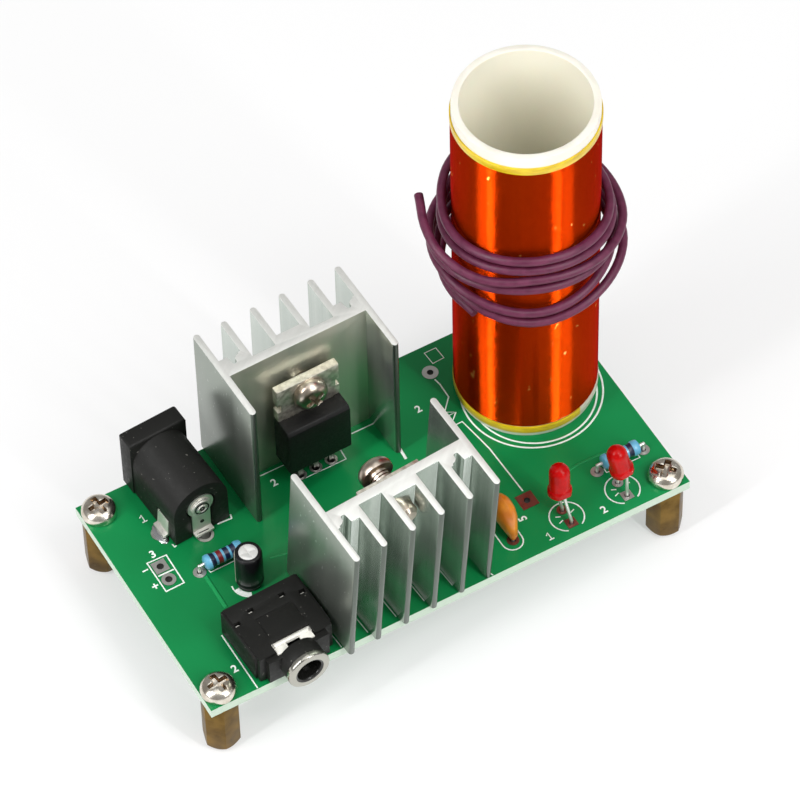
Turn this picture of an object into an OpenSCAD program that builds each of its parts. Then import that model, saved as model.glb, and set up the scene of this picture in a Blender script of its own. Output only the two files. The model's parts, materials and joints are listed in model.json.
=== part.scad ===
// Desktop resonant transformer: a driver board on four pillars, with two heat
// sinks, two jacks and a tall wound secondary inside a loose primary of wire.
// Origin: the standing plane, midway between the pillars. +X runs from the
// jacks to the coil, +Y to the power jack's mouth, +Z up. Millimetres.

/* [Board] */
// Length of the circuit board
board_l = 77; // [74:1:84]
// Width of the circuit board
board_w = 40; // [39:0.5:44]
// Thickness of the circuit board
board_t = 1.6; // [1.2:0.1:2]
// Distance of each corner hole from the board's edges
corner_inset = 2.5; // [2.5:0.1:3]
// Thickness of the copper on each hole's two pads
pad_t = 0.07; // [0.04:0.01:0.1]

/* [Pillars and screws] */
// Height of a pillar
pillar_h = 10; // [8:1:20]
// Width of a pillar across its flats
pillar_flats = 4.8; // [4.5:0.1:5.5]
// Radius of the screws' thread, and of the holes that they sit in
thread_r = 1.5; // [1.4:0.05:1.6]
// Radius of the tapped hole in a pillar's foot, at the crests of its thread
foot_tap_r = 1.25; // [1.15:0.05:1.3]
// Radius of a screw's pan head
head_r = 2.6; // [2.4:0.05:2.65]
// Height of a screw's pan head
head_h = 2; // [1.6:0.1:2.4]
// Length of a corner screw under its head
corner_screw_l = 6; // [5:0.5:8]
// Length of a sink screw under its head
sink_screw_l = 8; // [7.5:0.5:10]

/* [Heat sinks] */
// Width of the extrusion
sink_w = 23.8; // [22:0.1:26]
// Depth of the extrusion, from the fins' tips to the ends of its side walls
sink_d = 16.3; // [15:0.1:17]
// Height of the cut length
sink_h = 25; // [24:1:30]
// Thickness of the side walls and fins
fin_t = 1; // [0.8:0.05:1.2]
// Thickness of the web between two fins
web_t = 1.4; // [1:0.1:2]
// Depth of the channel that the transistor stands in
channel_d = 7.5; // [7:0.1:8]
// Thickness of the web where a pin slot or the screw thickens it
boss_t = 3.1; // [2.4:0.1:3.4]
// Depth of the slot for a mounting pin
pin_slot_d = 1.5; // [1:0.1:1.8]
// Distance between two inner fins
fin_pitch = 4.66; // [4.4:0.02:4.8]
// Gap between the power jack and the rear sink
rear_sink_off = 2.6; // [2.4:0.05:4]
// How far the rear sink's fins reach over the board's back edge
rear_sink_over = 1.2; // [0.5:0.1:2]
// Turn of the rear sink about the upright
rear_turn = 1.4; // [0:0.2:2]
// Height of the screw hole in the rear sink
rear_hole_up = 16.7; // [16:0.1:18]
// Gap between the rear sink and the tab of its transistor
rear_tab_gap = 1; // [0.5:0.1:1.4]
// Gap between the audio jack and the front sink
front_sink_off = 0.8; // [0.8:0.05:3]
// How far the front sink's fins reach over the board's front edge
front_sink_over = 0.8; // [-0.5:0.1:1.5]
// Turn of the front sink about the upright
front_turn = 4; // [0:0.5:4.5]
// Lean of the front sink towards its fins
front_lean = 5.6; // [0:0.2:7]
// Height of the screw hole in the front sink
front_hole_up = 20.4; // [19:0.1:21]
// Gap between the front sink and the tab of its transistor
front_tab_gap = 0.1; // [0.05:0.05:0.3]
// Distance from the front sink's web to its screw's head
front_head_off = 3.4; // [2.5:0.1:4]

/* [Transistors] */
// Width of a transistor
transistor_w = 10; // [9.6:0.1:10.4]
// Height of a transistor's moulded body
transistor_body_h = 9; // [8.6:0.1:9.4]
// Height of a transistor from its body's foot to its tab's top
transistor_h = 15.6; // [15:0.1:16]
// Thickness of a transistor's body
transistor_t = 4.2; // [4:0.1:4.6]
// Thickness of a transistor's metal tab
tab_t = 1.3; // [1.1:0.05:1.4]
// Distance of the tab's hole below the tab's top
tab_hole_down = 2.7; // [2.7:0.1:3]
// Radius of the tab's hole
tab_hole_r = 1.85; // [1.75:0.05:1.95]
// Distance between a transistor's leads, and between header pads
lead_pitch = 2.54; // [2.4:0.02:2.6]
// Width of a transistor's lead
lead_w = 0.8; // [0.6:0.05:0.85]
// Thickness of a transistor's lead
lead_t = 0.5; // [0.4:0.05:0.55]

/* [Secondary coil] */
// Distance of the coil's middle from the board's right edge
coil_in_x = 10.7; // [10.6:0.1:11.1]
// Distance of the coil's middle from the board's back edge
coil_in_y = 12.5; // [12.4:0.1:13]
// Outer radius of the tube
tube_r = 10.2; // [9.5:0.05:10.25]
// Wall of the tube
tube_wall = 1.1; // [0.9:0.1:2]
// Height of the tube
tube_h = 61.3; // [57.3:1:80.3]
// Bare length of the tube below the lower tape
bare_bottom = 0.9; // [0.6:0.1:1.5]
// Bare length of the tube above the upper tape
bare_top = 1.7; // [1:0.1:3]
// Width of a band of tape
tape_w = 1.3; // [1:0.1:2.5]
// Thickness of the wound tape
tape_t = 0.22; // [0.16:0.02:0.24]
// Thickness of the winding of fine wire
winding_t = 0.15; // [0.1:0.01:0.2]

/* [Primary wire] */
// Diameter of the insulated wire
wire_d = 1.3; // [1:0.05:1.35]
// Clearance between the winding and the wire where the loops come closest
wire_gap = 0.4; // [0.35:0.05:0.6]
// How far the loops stand off beyond that at their sides
wire_slack = 1.5; // [1.2:0.1:1.8]
// Height of the loops above the place where they are drawn
wire_lift = 0; // [-10:1:10]

/* [Power jack] */
// Distance of the power jack's middle from the board's left edge
power_jack_in = 13.5; // [12.5:0.1:14.5]
// How far the power jack's mouth reaches over the board's back edge
power_jack_over = 1.2; // [0.4:0.1:1.8]
// Turn of the power jack about the upright
power_jack_turn = 3.5; // [0:0.5:4]
// Length of the power jack
power_jack_l = 14; // [13:0.1:14.5]
// Width of the power jack's body
power_jack_w = 8.8; // [8.4:0.1:9]
// Height of the power jack's flange
power_jack_h = 11; // [10.9:0.1:11.5]
// Thickness of the power jack's flange
flange_t = 3; // [2.5:0.1:3.5]
// Extra width of the flange on each side
flange_lip = 0.2; // [0.1:0.05:0.4]
// Height of the plug's axis above the board
power_axis_up = 6.2; // [6:0.1:6.3]
// Radius of the socket
socket_r = 3.1; // [2.9:0.05:3.2]
// Radius of the centre pin
centre_pin_r = 1; // [0.9:0.05:1.2]
// Thickness of the jack's sheet metal terminals
terminal_t = 0.4; // [0.3:0.05:0.5]

/* [Audio jack] */
// Distance of the audio jack's middle from the board's left edge
audio_jack_in = 14; // [13:0.1:14]
// Distance of the audio jack's front from the board's front edge
audio_jack_back = 0; // [-0.2:0.1:0.4]
// Turn of the audio jack about the upright
audio_jack_turn = 2; // [0:0.5:3]
// Width of the audio jack
audio_jack_w = 12.2; // [11.8:0.1:12.3]
// Depth of the audio jack
audio_jack_l = 10.9; // [10.6:0.1:12]
// Height of the audio jack
audio_jack_h = 5.2; // [5.1:0.1:6]
// Outer radius of the lip of the nickel bushing
lip_r = 3.25; // [2.9:0.05:3.4]
// Length of the lip
lip_l = 1.05; // [0.8:0.05:1.4]
// Length of the nose and the lip in front of the housing
bushing_l = 2.8; // [2.4:0.1:3.5]
// Radius of the plug's bore
plug_r = 1.8; // [1.75:0.05:1.9]
// Height of the plug's axis above the board
audio_axis_up = 2.8; // [2.75:0.05:3]

/* [Small components] */
// Radius of a round lead of a resistor, capacitor or diode
wire_lead_r = 0.25; // [0.2:0.05:0.3]
// Distance between a resistor's holes
resistor_pitch = 7.62; // [7.4:0.02:8]
// Length of a resistor's body
resistor_l = 6; // [5:0.1:6.2]
// Radius of a resistor's end caps
resistor_r = 1.15; // [1:0.05:1.25]
// Radius of the small upright capacitor
can_r = 2; // [1.8:0.05:2.2]
// Height of the small upright capacitor
can_h = 7.1; // [6.5:0.1:8]
// Distance between the dipped capacitor's leads
dipped_pitch = 5.08; // [4.8:0.02:5.4]
// Height of the dipped capacitor's body
dipped_h = 5.6; // [5:0.1:6.5]
// Thickness of the dipped capacitor's body
dipped_t = 3; // [2.4:0.1:3.2]
// Radius of a diode's lens
lens_r = 1.5; // [1.4:0.05:1.6]
// How far the flange of a diode's lens stands out
flange_out = 0.25; // [0.2:0.05:0.45]
// Height of a diode's lens from its flange to its crown
lens_h = 5.3; // [4.8:0.1:5.6]
// Height of the first diode's flange above the board
led_1_up = 5; // [3:0.5:7]
// Height of the second diode's flange above the board
led_2_up = 4.5; // [3:0.5:7]

/* [Hidden] */
$fn = 48;

// Small distance by which a cut runs past the face that it opens
cut = 0.5;
// Radial clearance of a plated barrel in the board, and of a screw in its thread
fit = 0.01;
// Clearance of a lead in its plated hole
hole_gap = 0.12;
// Wall of a plated hole
plating_t = 0.05;
// How far a soldered lead ends below the board
tail = 1.5;
// Height of a cone of solder
solder_h = 1.1;

board_top = pillar_h + board_t;
left = -board_l / 2;
right = board_l / 2;
front = -board_w / 2;
back = board_w / 2;
hole_dx = right - corner_inset;
hole_dy = back - corner_inset;
coil_x = right - coil_in_x;
coil_y = back - coil_in_y;
power_jack_x = left + power_jack_in;
power_jack_y = back + power_jack_over - power_jack_l;
audio_jack_x = left + audio_jack_in;
audio_jack_y = front + audio_jack_back;

// The two sinks share every module: index 0 is the rear one, 1 the front one
REAR = 0;
FRONT = 1;
sink_at = [
    [power_jack_x + power_jack_w / 2 + rear_sink_off + sink_w / 2, back + rear_sink_over],
    [audio_jack_x + audio_jack_w / 2 + front_sink_off + sink_w / 2, front - front_sink_over]
];
sink_turn = [180 + rear_turn, front_turn];
sink_lean = [0, front_lean];
hole_up = [rear_hole_up, front_hole_up];
tab_gap = [rear_tab_gap, front_tab_gap];
head_off = [rear_tab_gap + tab_t, front_head_off];
web_y = sink_d - channel_d;
slot_x = (fin_pitch * 1.5 + (sink_w - fin_t) / 2) / 2;
lead_y = 2.4;

// Places of the small components: resistors and diodes lie along X and Y
resistor_1_at = [left + 13.6, 1.3];
resistor_2_at = [right - 6.6, front + 8.1];
can_at = [left + 15.1, -3.6];
can_pitch = 1.6;
dipped_at = [right - 26.7, front + 6.4];
led_1_at = [right - 18.1, front + 3.6];
led_2_at = [right - 8.9, front + 3.7];
led_1_tilt = [-8.5, 4];
led_2_tilt = [-5, -10.5];
led_1_shift = [-0.93, 0.27];
led_2_shift = [0.74, -0.3];
header_at = [left + 5.5, 3.7];
earth_pad_at = [right - 21.5, front + 8.8];
coil_pad_at = [right - 21.9, back - 4.6];

// Pins of the two jacks, in each jack's own frame, x and y
power_pins = [[0, -0.55], [-power_jack_w / 2 - 0.7, 3.2], [0, 6]];
audio_pins = [[-5.2, 7.8], [-2.5, 8.8], [2.5, 8.8], [5.2, 7.8], [0, 2.2]];

// A point of a turned frame, in the board's frame
function turned(at, turn, p) = [
    at[0] + p[0] * cos(turn) - p[1] * sin(turn),
    at[1] + p[0] * sin(turn) + p[1] * cos(turn)
];

// A sink's point in its own upright plane, after its lean
function leaned(i, y, z) = [
    y * cos(sink_lean[i]) - z * sin(sink_lean[i]),
    y * sin(sink_lean[i]) + z * cos(sink_lean[i])
];

// Height of a transistor's foot in its sink's frame, and where its leads enter the board
function foot_up(i) = hole_up[i] + tab_hole_down - transistor_h;
function lead_foot_y(i) = leaned(i, web_y + tab_gap[i] + lead_y, foot_up(i) - 2)[0];

lead_hole_r = sqrt(lead_w * lead_w + lead_t * lead_t) / 2;

// Every plated hole: x, y, radius of its lead, radius of its pad, square pad, soldered
holes = concat(
    [for (at = [resistor_1_at, resistor_2_at]) for (s = [-1, 1])
        [at[0] + s * resistor_pitch / 2, at[1], wire_lead_r, 0.95, false, true]],
    [for (at = [led_1_at, led_2_at]) for (s = [-1, 1])
        [at[0], at[1] + s * lead_pitch / 2, wire_lead_r, 0.8, s < 0, true]],
    [for (s = [-1, 1]) [can_at[0], can_at[1] + s * can_pitch / 2, wire_lead_r, 0.65, false, true]],
    [for (s = [-1, 1]) [dipped_at[0], dipped_at[1] + s * dipped_pitch / 2, wire_lead_r, 0.9, false, true]],
    [for (i = [REAR, FRONT]) for (s = [-1, 0, 1])
        let (p = turned(sink_at[i], sink_turn[i], [s * lead_pitch, lead_foot_y(i)]))
        [p[0], p[1], lead_hole_r, 0.95, false, true]],
    [for (p = power_pins)
        let (q = turned([power_jack_x, power_jack_y], power_jack_turn, p)) [q[0], q[1], 0.75, 1.3, false, true]],
    [for (p = audio_pins)
        let (q = turned([audio_jack_x, audio_jack_y], audio_jack_turn, p)) [q[0], q[1], 0.45, 0.85, false, true]],
    [for (s = [-1, 1]) [header_at[0], header_at[1] + s * lead_pitch / 2, 0.4, 1.05, s > 0, false]],
    [[earth_pad_at[0], earth_pad_at[1], 0.35, 1.3, true, false]],
    [[coil_pad_at[0], coil_pad_at[1], 0.35, 1.2, false, false]]
);

function drill_r(h) = h[2] + hole_gap + plating_t;

// The wire's route, turn by turn: its heights above the board at the front,
// the right and the left, and how far it bulges at the right, back and left
front_up = [36.95, 41.05, 39.1, 34.9, 29.7, 27.6, 27];
right_up = [36.6, 40, 38.1, 34.8, 32.85, 31.4];
left_up = [40.2, 38.2, 35.1, 33.1, 31.2, 27.9];
right_bulge = [1.35, 0.1, 0.35, 0.6, 0.35, 1.45];
back_bulge = [1.75, 0.1, 0.1, 0.35, 0.4, 0.8];
left_bulge = [0.1, 0.25, 1.35, 1.25, 0.7, 0.3];
measured_tube_h = 61.3;
wire_front = -111;
first_end = -0.27;
last_end = 5.855;
first_end_up = 40.6;
first_end_bulge = 2.1;
rings_per_turn = 24;
wire_sides = 6;
wire_r0 = tube_r + winding_t + wire_gap + wire_d / 2;

function ease(u) = u <= 0 ? 0 : u >= 1 ? 1 : u * u * (3 - 2 * u);
function mix(a, b, u) = a + (b - a) * u;
function quarter(list, u) =
    let (k = min(floor(u * 4), 3))
    mix(list[k], list[k + 1], ease(u * 4 - k));

// Radius and height of the wire's centre after t turns
function wire_bulge(t) =
    t < 0
    ? mix(0, first_end_bulge, ease(-t / 0.21))
    : let (k = floor(t))
      quarter([0, right_bulge[k], back_bulge[k], left_bulge[k], 0], t - k);
function wire_up(t) =
    t < 0
    ? mix(front_up[0], first_end_up, ease((-t - 0.07) / 0.2))
    : let (
        k = floor(t),
        u = t - k,
        at_right = mix(front_up[k], right_up[k], ease(u / 0.25)),
        at_left = mix(at_right, left_up[k], ease((u - 0.28) / 0.4))
      )
      mix(at_left, front_up[k + 1], ease((u - 0.75) / 0.25));
function wire_point(t) =
    let (a = wire_front + 360 * t, r = wire_r0 + wire_slack * wire_bulge(t))
    [r * cos(a), r * sin(a), wire_up(t) * tube_h / measured_tube_h];

wire_steps = round((last_end - first_end) * rings_per_turn);
wire_middle = [for (k = [0:wire_steps]) wire_point(mix(first_end, last_end, k / wire_steps))];

function unit(v) = v / norm(v);
wire_path = concat(
    [wire_middle[0] - unit(wire_middle[1] - wire_middle[0]) * wire_d],
    wire_middle,
    [wire_middle[wire_steps] + unit(wire_middle[wire_steps] - wire_middle[wire_steps - 1]) * wire_d]
);
wire_count = len(wire_path);
function wire_along(k) = unit(wire_path[min(k + 1, wire_count - 1)] - wire_path[max(k - 1, 0)]);

// Least gap of the wire to itself, between points a third of a turn or more apart
wire_self_gap = min([
    for (i = [0:wire_count - 1]) for (j = [i + 8:1:wire_count - 1])
    norm(wire_path[i] - wire_path[j])
]) - wire_d;
echo(wire_self_gap = wire_self_gap);

// Round bar between two points
module bar(from, to, r) {
    d = to - from;
    translate(from)
        rotate([0, acos(d[2] / norm(d)), atan2(d[1], d[0])])
            cylinder(h = norm(d), r = r);
}

// Lead of round wire through a list of points, with a ball at each bend
module round_lead(points, r) {
    for (k = [0:len(points) - 2]) {
        bar(points[k], points[k + 1], r);
    }
    for (k = [1:1:len(points) - 2]) {
        translate(points[k]) sphere(r = r * 1.04);
    }
}

// Pan head screw, its head's seat at z = 0 and its tip below
module pan_screw(length) {
    flat_r = head_r * 0.42;
    crown = [for (k = [0:6]) let (a = 15 * k) [mix(flat_r, head_r, sin(a)), head_h * (0.3 + 0.7 * cos(a))]];
    difference() {
        union() {
            rotate_extrude() polygon(concat([[0, 0], [0, head_h]], crown, [[head_r * 0.97, 0]]));
            translate([0, 0, 0.6 - length]) cylinder(h = length - 0.6 + fit, r = thread_r - fit);
            translate([0, 0, -length]) cylinder(h = 0.6, r1 = thread_r * 0.7, r2 = thread_r - fit);
        }
        for (a = [0, 90]) {
            rotate([0, 0, a])
                translate([-head_r * 0.58, -0.45, head_h - 1.1])
                    cube([head_r * 1.16, 0.9, 1.1 + cut]);
        }
    }
}

module circuit_board() {
    color("seagreen")
    difference() {
        translate([-board_l / 2, -board_w / 2, pillar_h]) cube([board_l, board_w, board_t]);
        for (x = [-hole_dx, hole_dx]) for (y = [-hole_dy, hole_dy]) {
            translate([x, y, pillar_h - cut]) cylinder(h = board_t + 2 * cut, r = thread_r + 0.2);
        }
        for (h = holes) {
            translate([h[0], h[1], pillar_h - cut]) cylinder(h = board_t + 2 * cut, r = drill_r(h));
        }
    }
}

module pad_outline(h) {
    if (h[4]) {
        square(2 * h[3], center = true);
    } else {
        circle(h[3]);
    }
}

// Each hole's copper: a pad above, a pad below and the barrel that joins them
module plated_holes() {
    color("silver")
    for (h = holes) {
        translate([h[0], h[1], 0])
        difference() {
            union() {
                translate([0, 0, board_top]) linear_extrude(height = pad_t) pad_outline(h);
                translate([0, 0, pillar_h - pad_t]) linear_extrude(height = pad_t) pad_outline(h);
                translate([0, 0, pillar_h - pad_t])
                    cylinder(h = board_t + 2 * pad_t, r = drill_r(h) - fit);
            }
            translate([0, 0, pillar_h - cut])
                cylinder(h = board_t + 2 * cut, r = drill_r(h) - plating_t);
        }
    }
}

// Cones of solder under the board, each round the lead that it holds
module solder_joints() {
    color("lightgray")
    for (h = holes) {
        if (h[5]) {
            translate([h[0], h[1], pillar_h - pad_t - solder_h])
            difference() {
                cylinder(h = solder_h, r1 = h[2] + 0.25, r2 = max(h[3] * 0.9, h[2] + 0.35));
                translate([0, 0, -cut]) cylinder(h = solder_h + 2 * cut, r = h[2] + 0.05);
            }
        }
    }
}

// Hexagonal pillars, tapped from both ends, with a chamfered foot. The upper
// hole runs a little deeper than the corner screw's tip.
module pillars() {
    corner_r = pillar_flats / 2 / cos(30);
    upper_foot = board_top - corner_screw_l - 0.8;
    color("saddlebrown")
    for (x = [-hole_dx, hole_dx]) for (y = [-hole_dy, hole_dy]) {
        translate([x, y, 0])
        rotate([0, 0, x < 0 ? 15 : -13])
        difference() {
            intersection() {
                cylinder(h = pillar_h, r = corner_r, $fn = 6);
                union() {
                    cylinder(h = 1.1, r1 = corner_r - 0.9, r2 = corner_r + 0.05);
                    translate([0, 0, 1.1]) cylinder(h = pillar_h, r = corner_r + 0.05);
                }
            }
            translate([0, 0, -cut]) cylinder(h = pillar_h, r = foot_tap_r);
            translate([0, 0, upper_foot]) cylinder(h = pillar_h, r = thread_r);
        }
    }
}

module corner_screws() {
    color("silver")
    for (x = [-hole_dx, hole_dx]) for (y = [-hole_dy, hole_dy]) {
        translate([x, y, board_top])
            rotate([0, 0, 25 + 3 * x]) pan_screw(corner_screw_l);
    }
}

// Carries its children from a sink's own frame to the board. In that frame the
// fins' tips stand at y = 0, the transistor's side is +y and the foot is z = 0.
module sink_frame(i) {
    translate([sink_at[i][0], sink_at[i][1], board_top])
        rotate([0, 0, sink_turn[i]]) children();
}

module leaned_frame(i) {
    sink_frame(i) rotate([sink_lean[i], 0, 0]) children();
}

// One fin in the extrusion's section, with rounded ends at y0 and y1
module fin(x, y0, y1) {
    r = fin_t / 2;
    translate([x, 0]) polygon(concat(
        [for (a = [180:30:360]) [r * cos(a), y0 + r + r * sin(a)]],
        [for (a = [0:30:180]) [r * cos(a), y1 - r + r * sin(a)]]
    ));
}

// Section of the extrusion: web, two side walls, four fins and three bosses
module sink_section() {
    boss_w = 2 * (slot_x - fin_pitch * 1.5);
    difference() {
        union() {
            translate([-sink_w / 2 + fin_t / 2, web_y - web_t]) square([sink_w - fin_t, web_t]);
            for (s = [-1, 1]) {
                fin(s * (sink_w - fin_t) / 2, 0, sink_d);
                fin(s * fin_pitch / 2, 0, web_y);
                fin(s * fin_pitch * 1.5, 0, web_y);
                translate([s * slot_x - boss_w / 2, web_y - boss_t]) square([boss_w, boss_t]);
            }
            translate([-fin_pitch / 2, web_y - boss_t + 0.3]) square([fin_pitch, boss_t - 0.3]);
        }
        for (s = [-1, 1]) {
            translate([s * slot_x, web_y - boss_t]) polygon([
                [0.45, -cut], [0.45, 0], [0.25, pin_slot_d - 0.15], [0.1, pin_slot_d], [-0.25, pin_slot_d],
                [-0.4, pin_slot_d - 0.15], [-0.45, 0.75], [-0.8, 0.4], [-1.3, 0.25], [-1.3, -cut]
            ]);
        }
    }
}

module heat_sink(i) {
    color("gainsboro")
    leaned_frame(i)
    difference() {
        linear_extrude(height = sink_h) sink_section();
        translate([0, web_y + cut, hole_up[i]])
            rotate([90, 0, 0]) cylinder(h = boss_t + 2 * cut, r = thread_r);
    }
}

// Screw through the tab into the sink's web
module sink_screw(i) {
    color("silver")
    leaned_frame(i)
        translate([0, web_y + head_off[i], hole_up[i]])
            rotate([-90, 0, 0]) rotate([0, 0, 30]) pan_screw(sink_screw_l);
}

// Carries its children to a transistor: back of the tab at y = 0, foot at z = 0
module transistor_frame(i) {
    leaned_frame(i) translate([0, web_y + tab_gap[i], foot_up(i)]) children();
}

// Metal tab: a plate with a hole, notched at its sides, that runs down into the body
module transistor_tab(i) {
    notch = 0.6;
    color("lightgray")
    transistor_frame(i)
    difference() {
        union() {
            translate([-transistor_w / 2, 0, transistor_body_h])
                cube([transistor_w, tab_t, transistor_h - transistor_body_h]);
            translate([-transistor_w / 2 + 1, 0, 1])
                cube([transistor_w - 2, tab_t, transistor_body_h - 0.9]);
        }
        translate([0, tab_t + cut, transistor_h - tab_hole_down])
            rotate([90, 0, 0]) cylinder(h = tab_t + 2 * cut, r = tab_hole_r);
        for (s = [-1, 1]) {
            translate([s * transistor_w / 2 - notch, -cut, transistor_body_h + 2.1])
                cube([2 * notch, tab_t + 2 * cut, 1.2]);
        }
    }
}

// Moulded body with its sloping shoulder, seated round the lower half of the tab
module transistor_body(i) {
    slope = 0.45;
    color("#202224")
    transistor_frame(i)
    difference() {
        rotate([90, 0, 90]) translate([0, 0, -transistor_w / 2])
            linear_extrude(height = transistor_w) polygon([
                [0, 0], [transistor_t, 0], [transistor_t, transistor_body_h - slope * 1.2],
                [transistor_t - slope, transistor_body_h], [0, transistor_body_h]
            ]);
        translate([-transistor_w / 2 + 1, -cut, 1])
            cube([transistor_w - 2, tab_t + cut, transistor_body_h]);
    }
}

// Three leads: each leans with the sink, then goes straight down its hole
module transistor_leads(i) {
    top_y = web_y + tab_gap[i] + lead_y;
    a = leaned(i, top_y - lead_t / 2, foot_up(i));
    b = leaned(i, top_y + lead_t / 2, foot_up(i));
    foot_y = lead_foot_y(i);
    bend_z = min(foot_up(i) - 2, foot_up(i) * 0.5);
    color("silver")
    sink_frame(i)
    for (s = [-1, 0, 1]) {
        translate([s * lead_pitch - lead_w / 2, 0, 0])
            rotate([90, 0, 90]) linear_extrude(height = lead_w) polygon([
                a, b, [foot_y + lead_t / 2, bend_z], [foot_y + lead_t / 2, -board_t - tail],
                [foot_y - lead_t / 2, -board_t - tail], [foot_y - lead_t / 2, bend_z]
            ]);
    }
}

// Carries its children to the power jack: back face at y = 0, mouth towards +y
module power_frame() {
    translate([power_jack_x, power_jack_y, board_top])
        rotate([0, 0, power_jack_turn]) children();
}

jack_foot_h = 0.2;
socket_d = power_jack_l - 3.4;
groove_d = 1.5;
spring_w = 1.8;
spring_t = 0.25;
spring_y = power_pins[2][1] + 0.2;
spring_tip = power_jack_l - 2.8;
spring_z = power_axis_up - socket_r - groove_d + 0.5;

// Four moulded feet that hold a jack clear of its pads
module jack_feet(x, ys) {
    for (s = [-1, 1]) for (y = ys) {
        translate([s * x, y, 0]) cylinder(h = jack_foot_h + fit, r = 0.6);
    }
}

// Housing with an arched back, a square flange and a blind socket
module power_jack_housing() {
    half = power_jack_w / 2;
    color("#232426")
    power_frame()
    difference() {
        union() {
            rotate([90, 0, 180]) linear_extrude(height = power_jack_l - 0.5) union() {
                translate([-half, jack_foot_h]) square([power_jack_w, power_axis_up - jack_foot_h]);
                translate([0, power_axis_up]) circle(half);
            }
            translate([-half - flange_lip, power_jack_l - flange_t, jack_foot_h])
                cube([power_jack_w + 2 * flange_lip, flange_t, power_jack_h - jack_foot_h]);
            jack_feet(half - 1, [1, power_jack_l - 1.3]);
        }
        translate([0, power_jack_l - socket_d, power_axis_up])
            rotate([-90, 0, 0]) cylinder(h = socket_d + cut, r = socket_r);
        translate([0, power_jack_l - 0.5, power_axis_up])
            rotate([-90, 0, 0]) cylinder(h = 0.5 + fit, r1 = socket_r, r2 = socket_r + 0.5);
        translate([0, -cut, power_axis_up])
            rotate([-90, 0, 0]) cylinder(h = power_jack_l, r = centre_pin_r + fit);
        translate([-spring_w / 2 - 0.3, spring_y - 0.8, power_axis_up - socket_r - groove_d])
            cube([spring_w + 0.6, spring_tip - spring_y + 1.8, groove_d + 1]);
        translate([-1.75, -cut, -cut]) cube([3.5, cut + 0.5, power_axis_up + cut]);
        translate([0, 0.5, power_axis_up])
            rotate([90, 0, 0]) cylinder(h = 0.5 + cut, r = 2.4);
        translate([-0.9, power_pins[2][1] - 0.5, -cut]) cube([1.8, 1, power_axis_up - socket_r]);
        translate([-half - cut, 1.6, -cut]) cube([cut + 0.45, 3.2, 4 + cut]);
    }
}

// Turned centre pin, riveted over behind the rear terminal
module power_jack_centre_pin() {
    color("silver")
    power_frame()
    translate([0, 0, power_axis_up]) rotate([-90, 0, 0])
    rotate_extrude() polygon([
        [0, -0.5], [0.9, -0.5], [1.6, -0.15], [1.6, 0.1], [centre_pin_r, 0.1],
        [centre_pin_r, power_jack_l - 2.2], [centre_pin_r - 0.4, power_jack_l - 1.6], [0, power_jack_l - 1.4]
    ]);
}

// Strip behind the housing: an eye round the rivet, and a foot through the board
module power_jack_rear_terminal() {
    color("silver")
    power_frame()
    union() {
        difference() {
            translate([0, 0.1 + terminal_t, 0]) rotate([90, 0, 0]) linear_extrude(height = terminal_t) union() {
                translate([0, power_axis_up]) circle(2.1);
                translate([-1.5, 0.4]) square([3, power_axis_up - 0.4]);
            }
            translate([0, 1, power_axis_up]) rotate([90, 0, 0]) cylinder(h = 2, r = centre_pin_r + fit);
        }
        translate([-1.5, -0.75, 0.4]) cube([3, 0.9 + terminal_t - 0.05, terminal_t]);
        translate([-0.65, -0.75, -board_t - tail]) cube([1.3, terminal_t, board_t + tail + 0.5]);
    }
}

// Cranked strip on the jack's side, with its foot through the board
module power_jack_side_terminal() {
    x = -power_jack_w / 2;
    color("silver")
    power_frame()
    union() {
        translate([x + 0.4, 1.8, 0.5])
            rotate([90, 0, 180]) linear_extrude(height = 2.8) polygon([
                [0, 0], [1.3, -0.05], [1.3, terminal_t], [terminal_t + 0.25, terminal_t + 0.1],
                [terminal_t, 3.2], [0, 3.2]
            ]);
        translate([x - 0.9, 2.55, -board_t - tail]) cube([terminal_t, 1.3, board_t + tail + 0.6]);
    }
}

// Fixed foot of the leaf spring, from the board up into the groove
module power_jack_spring_foot() {
    color("silver")
    power_frame()
        translate([-0.65, power_pins[2][1] - 0.15, -board_t - tail])
            cube([1.3, 0.3, board_t + tail + spring_z + spring_t]);
}

// Leaf under the socket: it bows up into the plug's way and is pushed down by it
module power_jack_spring() {
    crest = spring_y + 2.8;
    color("goldenrod")
    power_frame()
    translate([-spring_w / 2, 0, 0])
        rotate([90, 0, 90]) linear_extrude(height = spring_w) polygon([
            [spring_y, spring_z], [crest, spring_z + 1.15], [spring_tip, spring_z + 0.4],
            [spring_tip, spring_z + 0.4 + spring_t], [crest, spring_z + 1.15 + spring_t],
            [spring_y, spring_z + spring_t]
        ]);
}

// Carries its children to the audio jack: front face at y = 0, bushing towards -y
module audio_frame() {
    translate([audio_jack_x, audio_jack_y, board_top])
        rotate([0, 0, audio_jack_turn]) children();
}

window_w = 6.2;
window_d = 2.05;
blade_t = 0.35;
blade_w = 0.6;
slot_gap = 0.18;
bushing_seat = 0.6;
nose_l = bushing_l - lip_l;
tip_x = audio_pins[2][0] + 0.1;
tip_y = audio_pins[2][1] - blade_t / 2 - 0.07;

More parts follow.
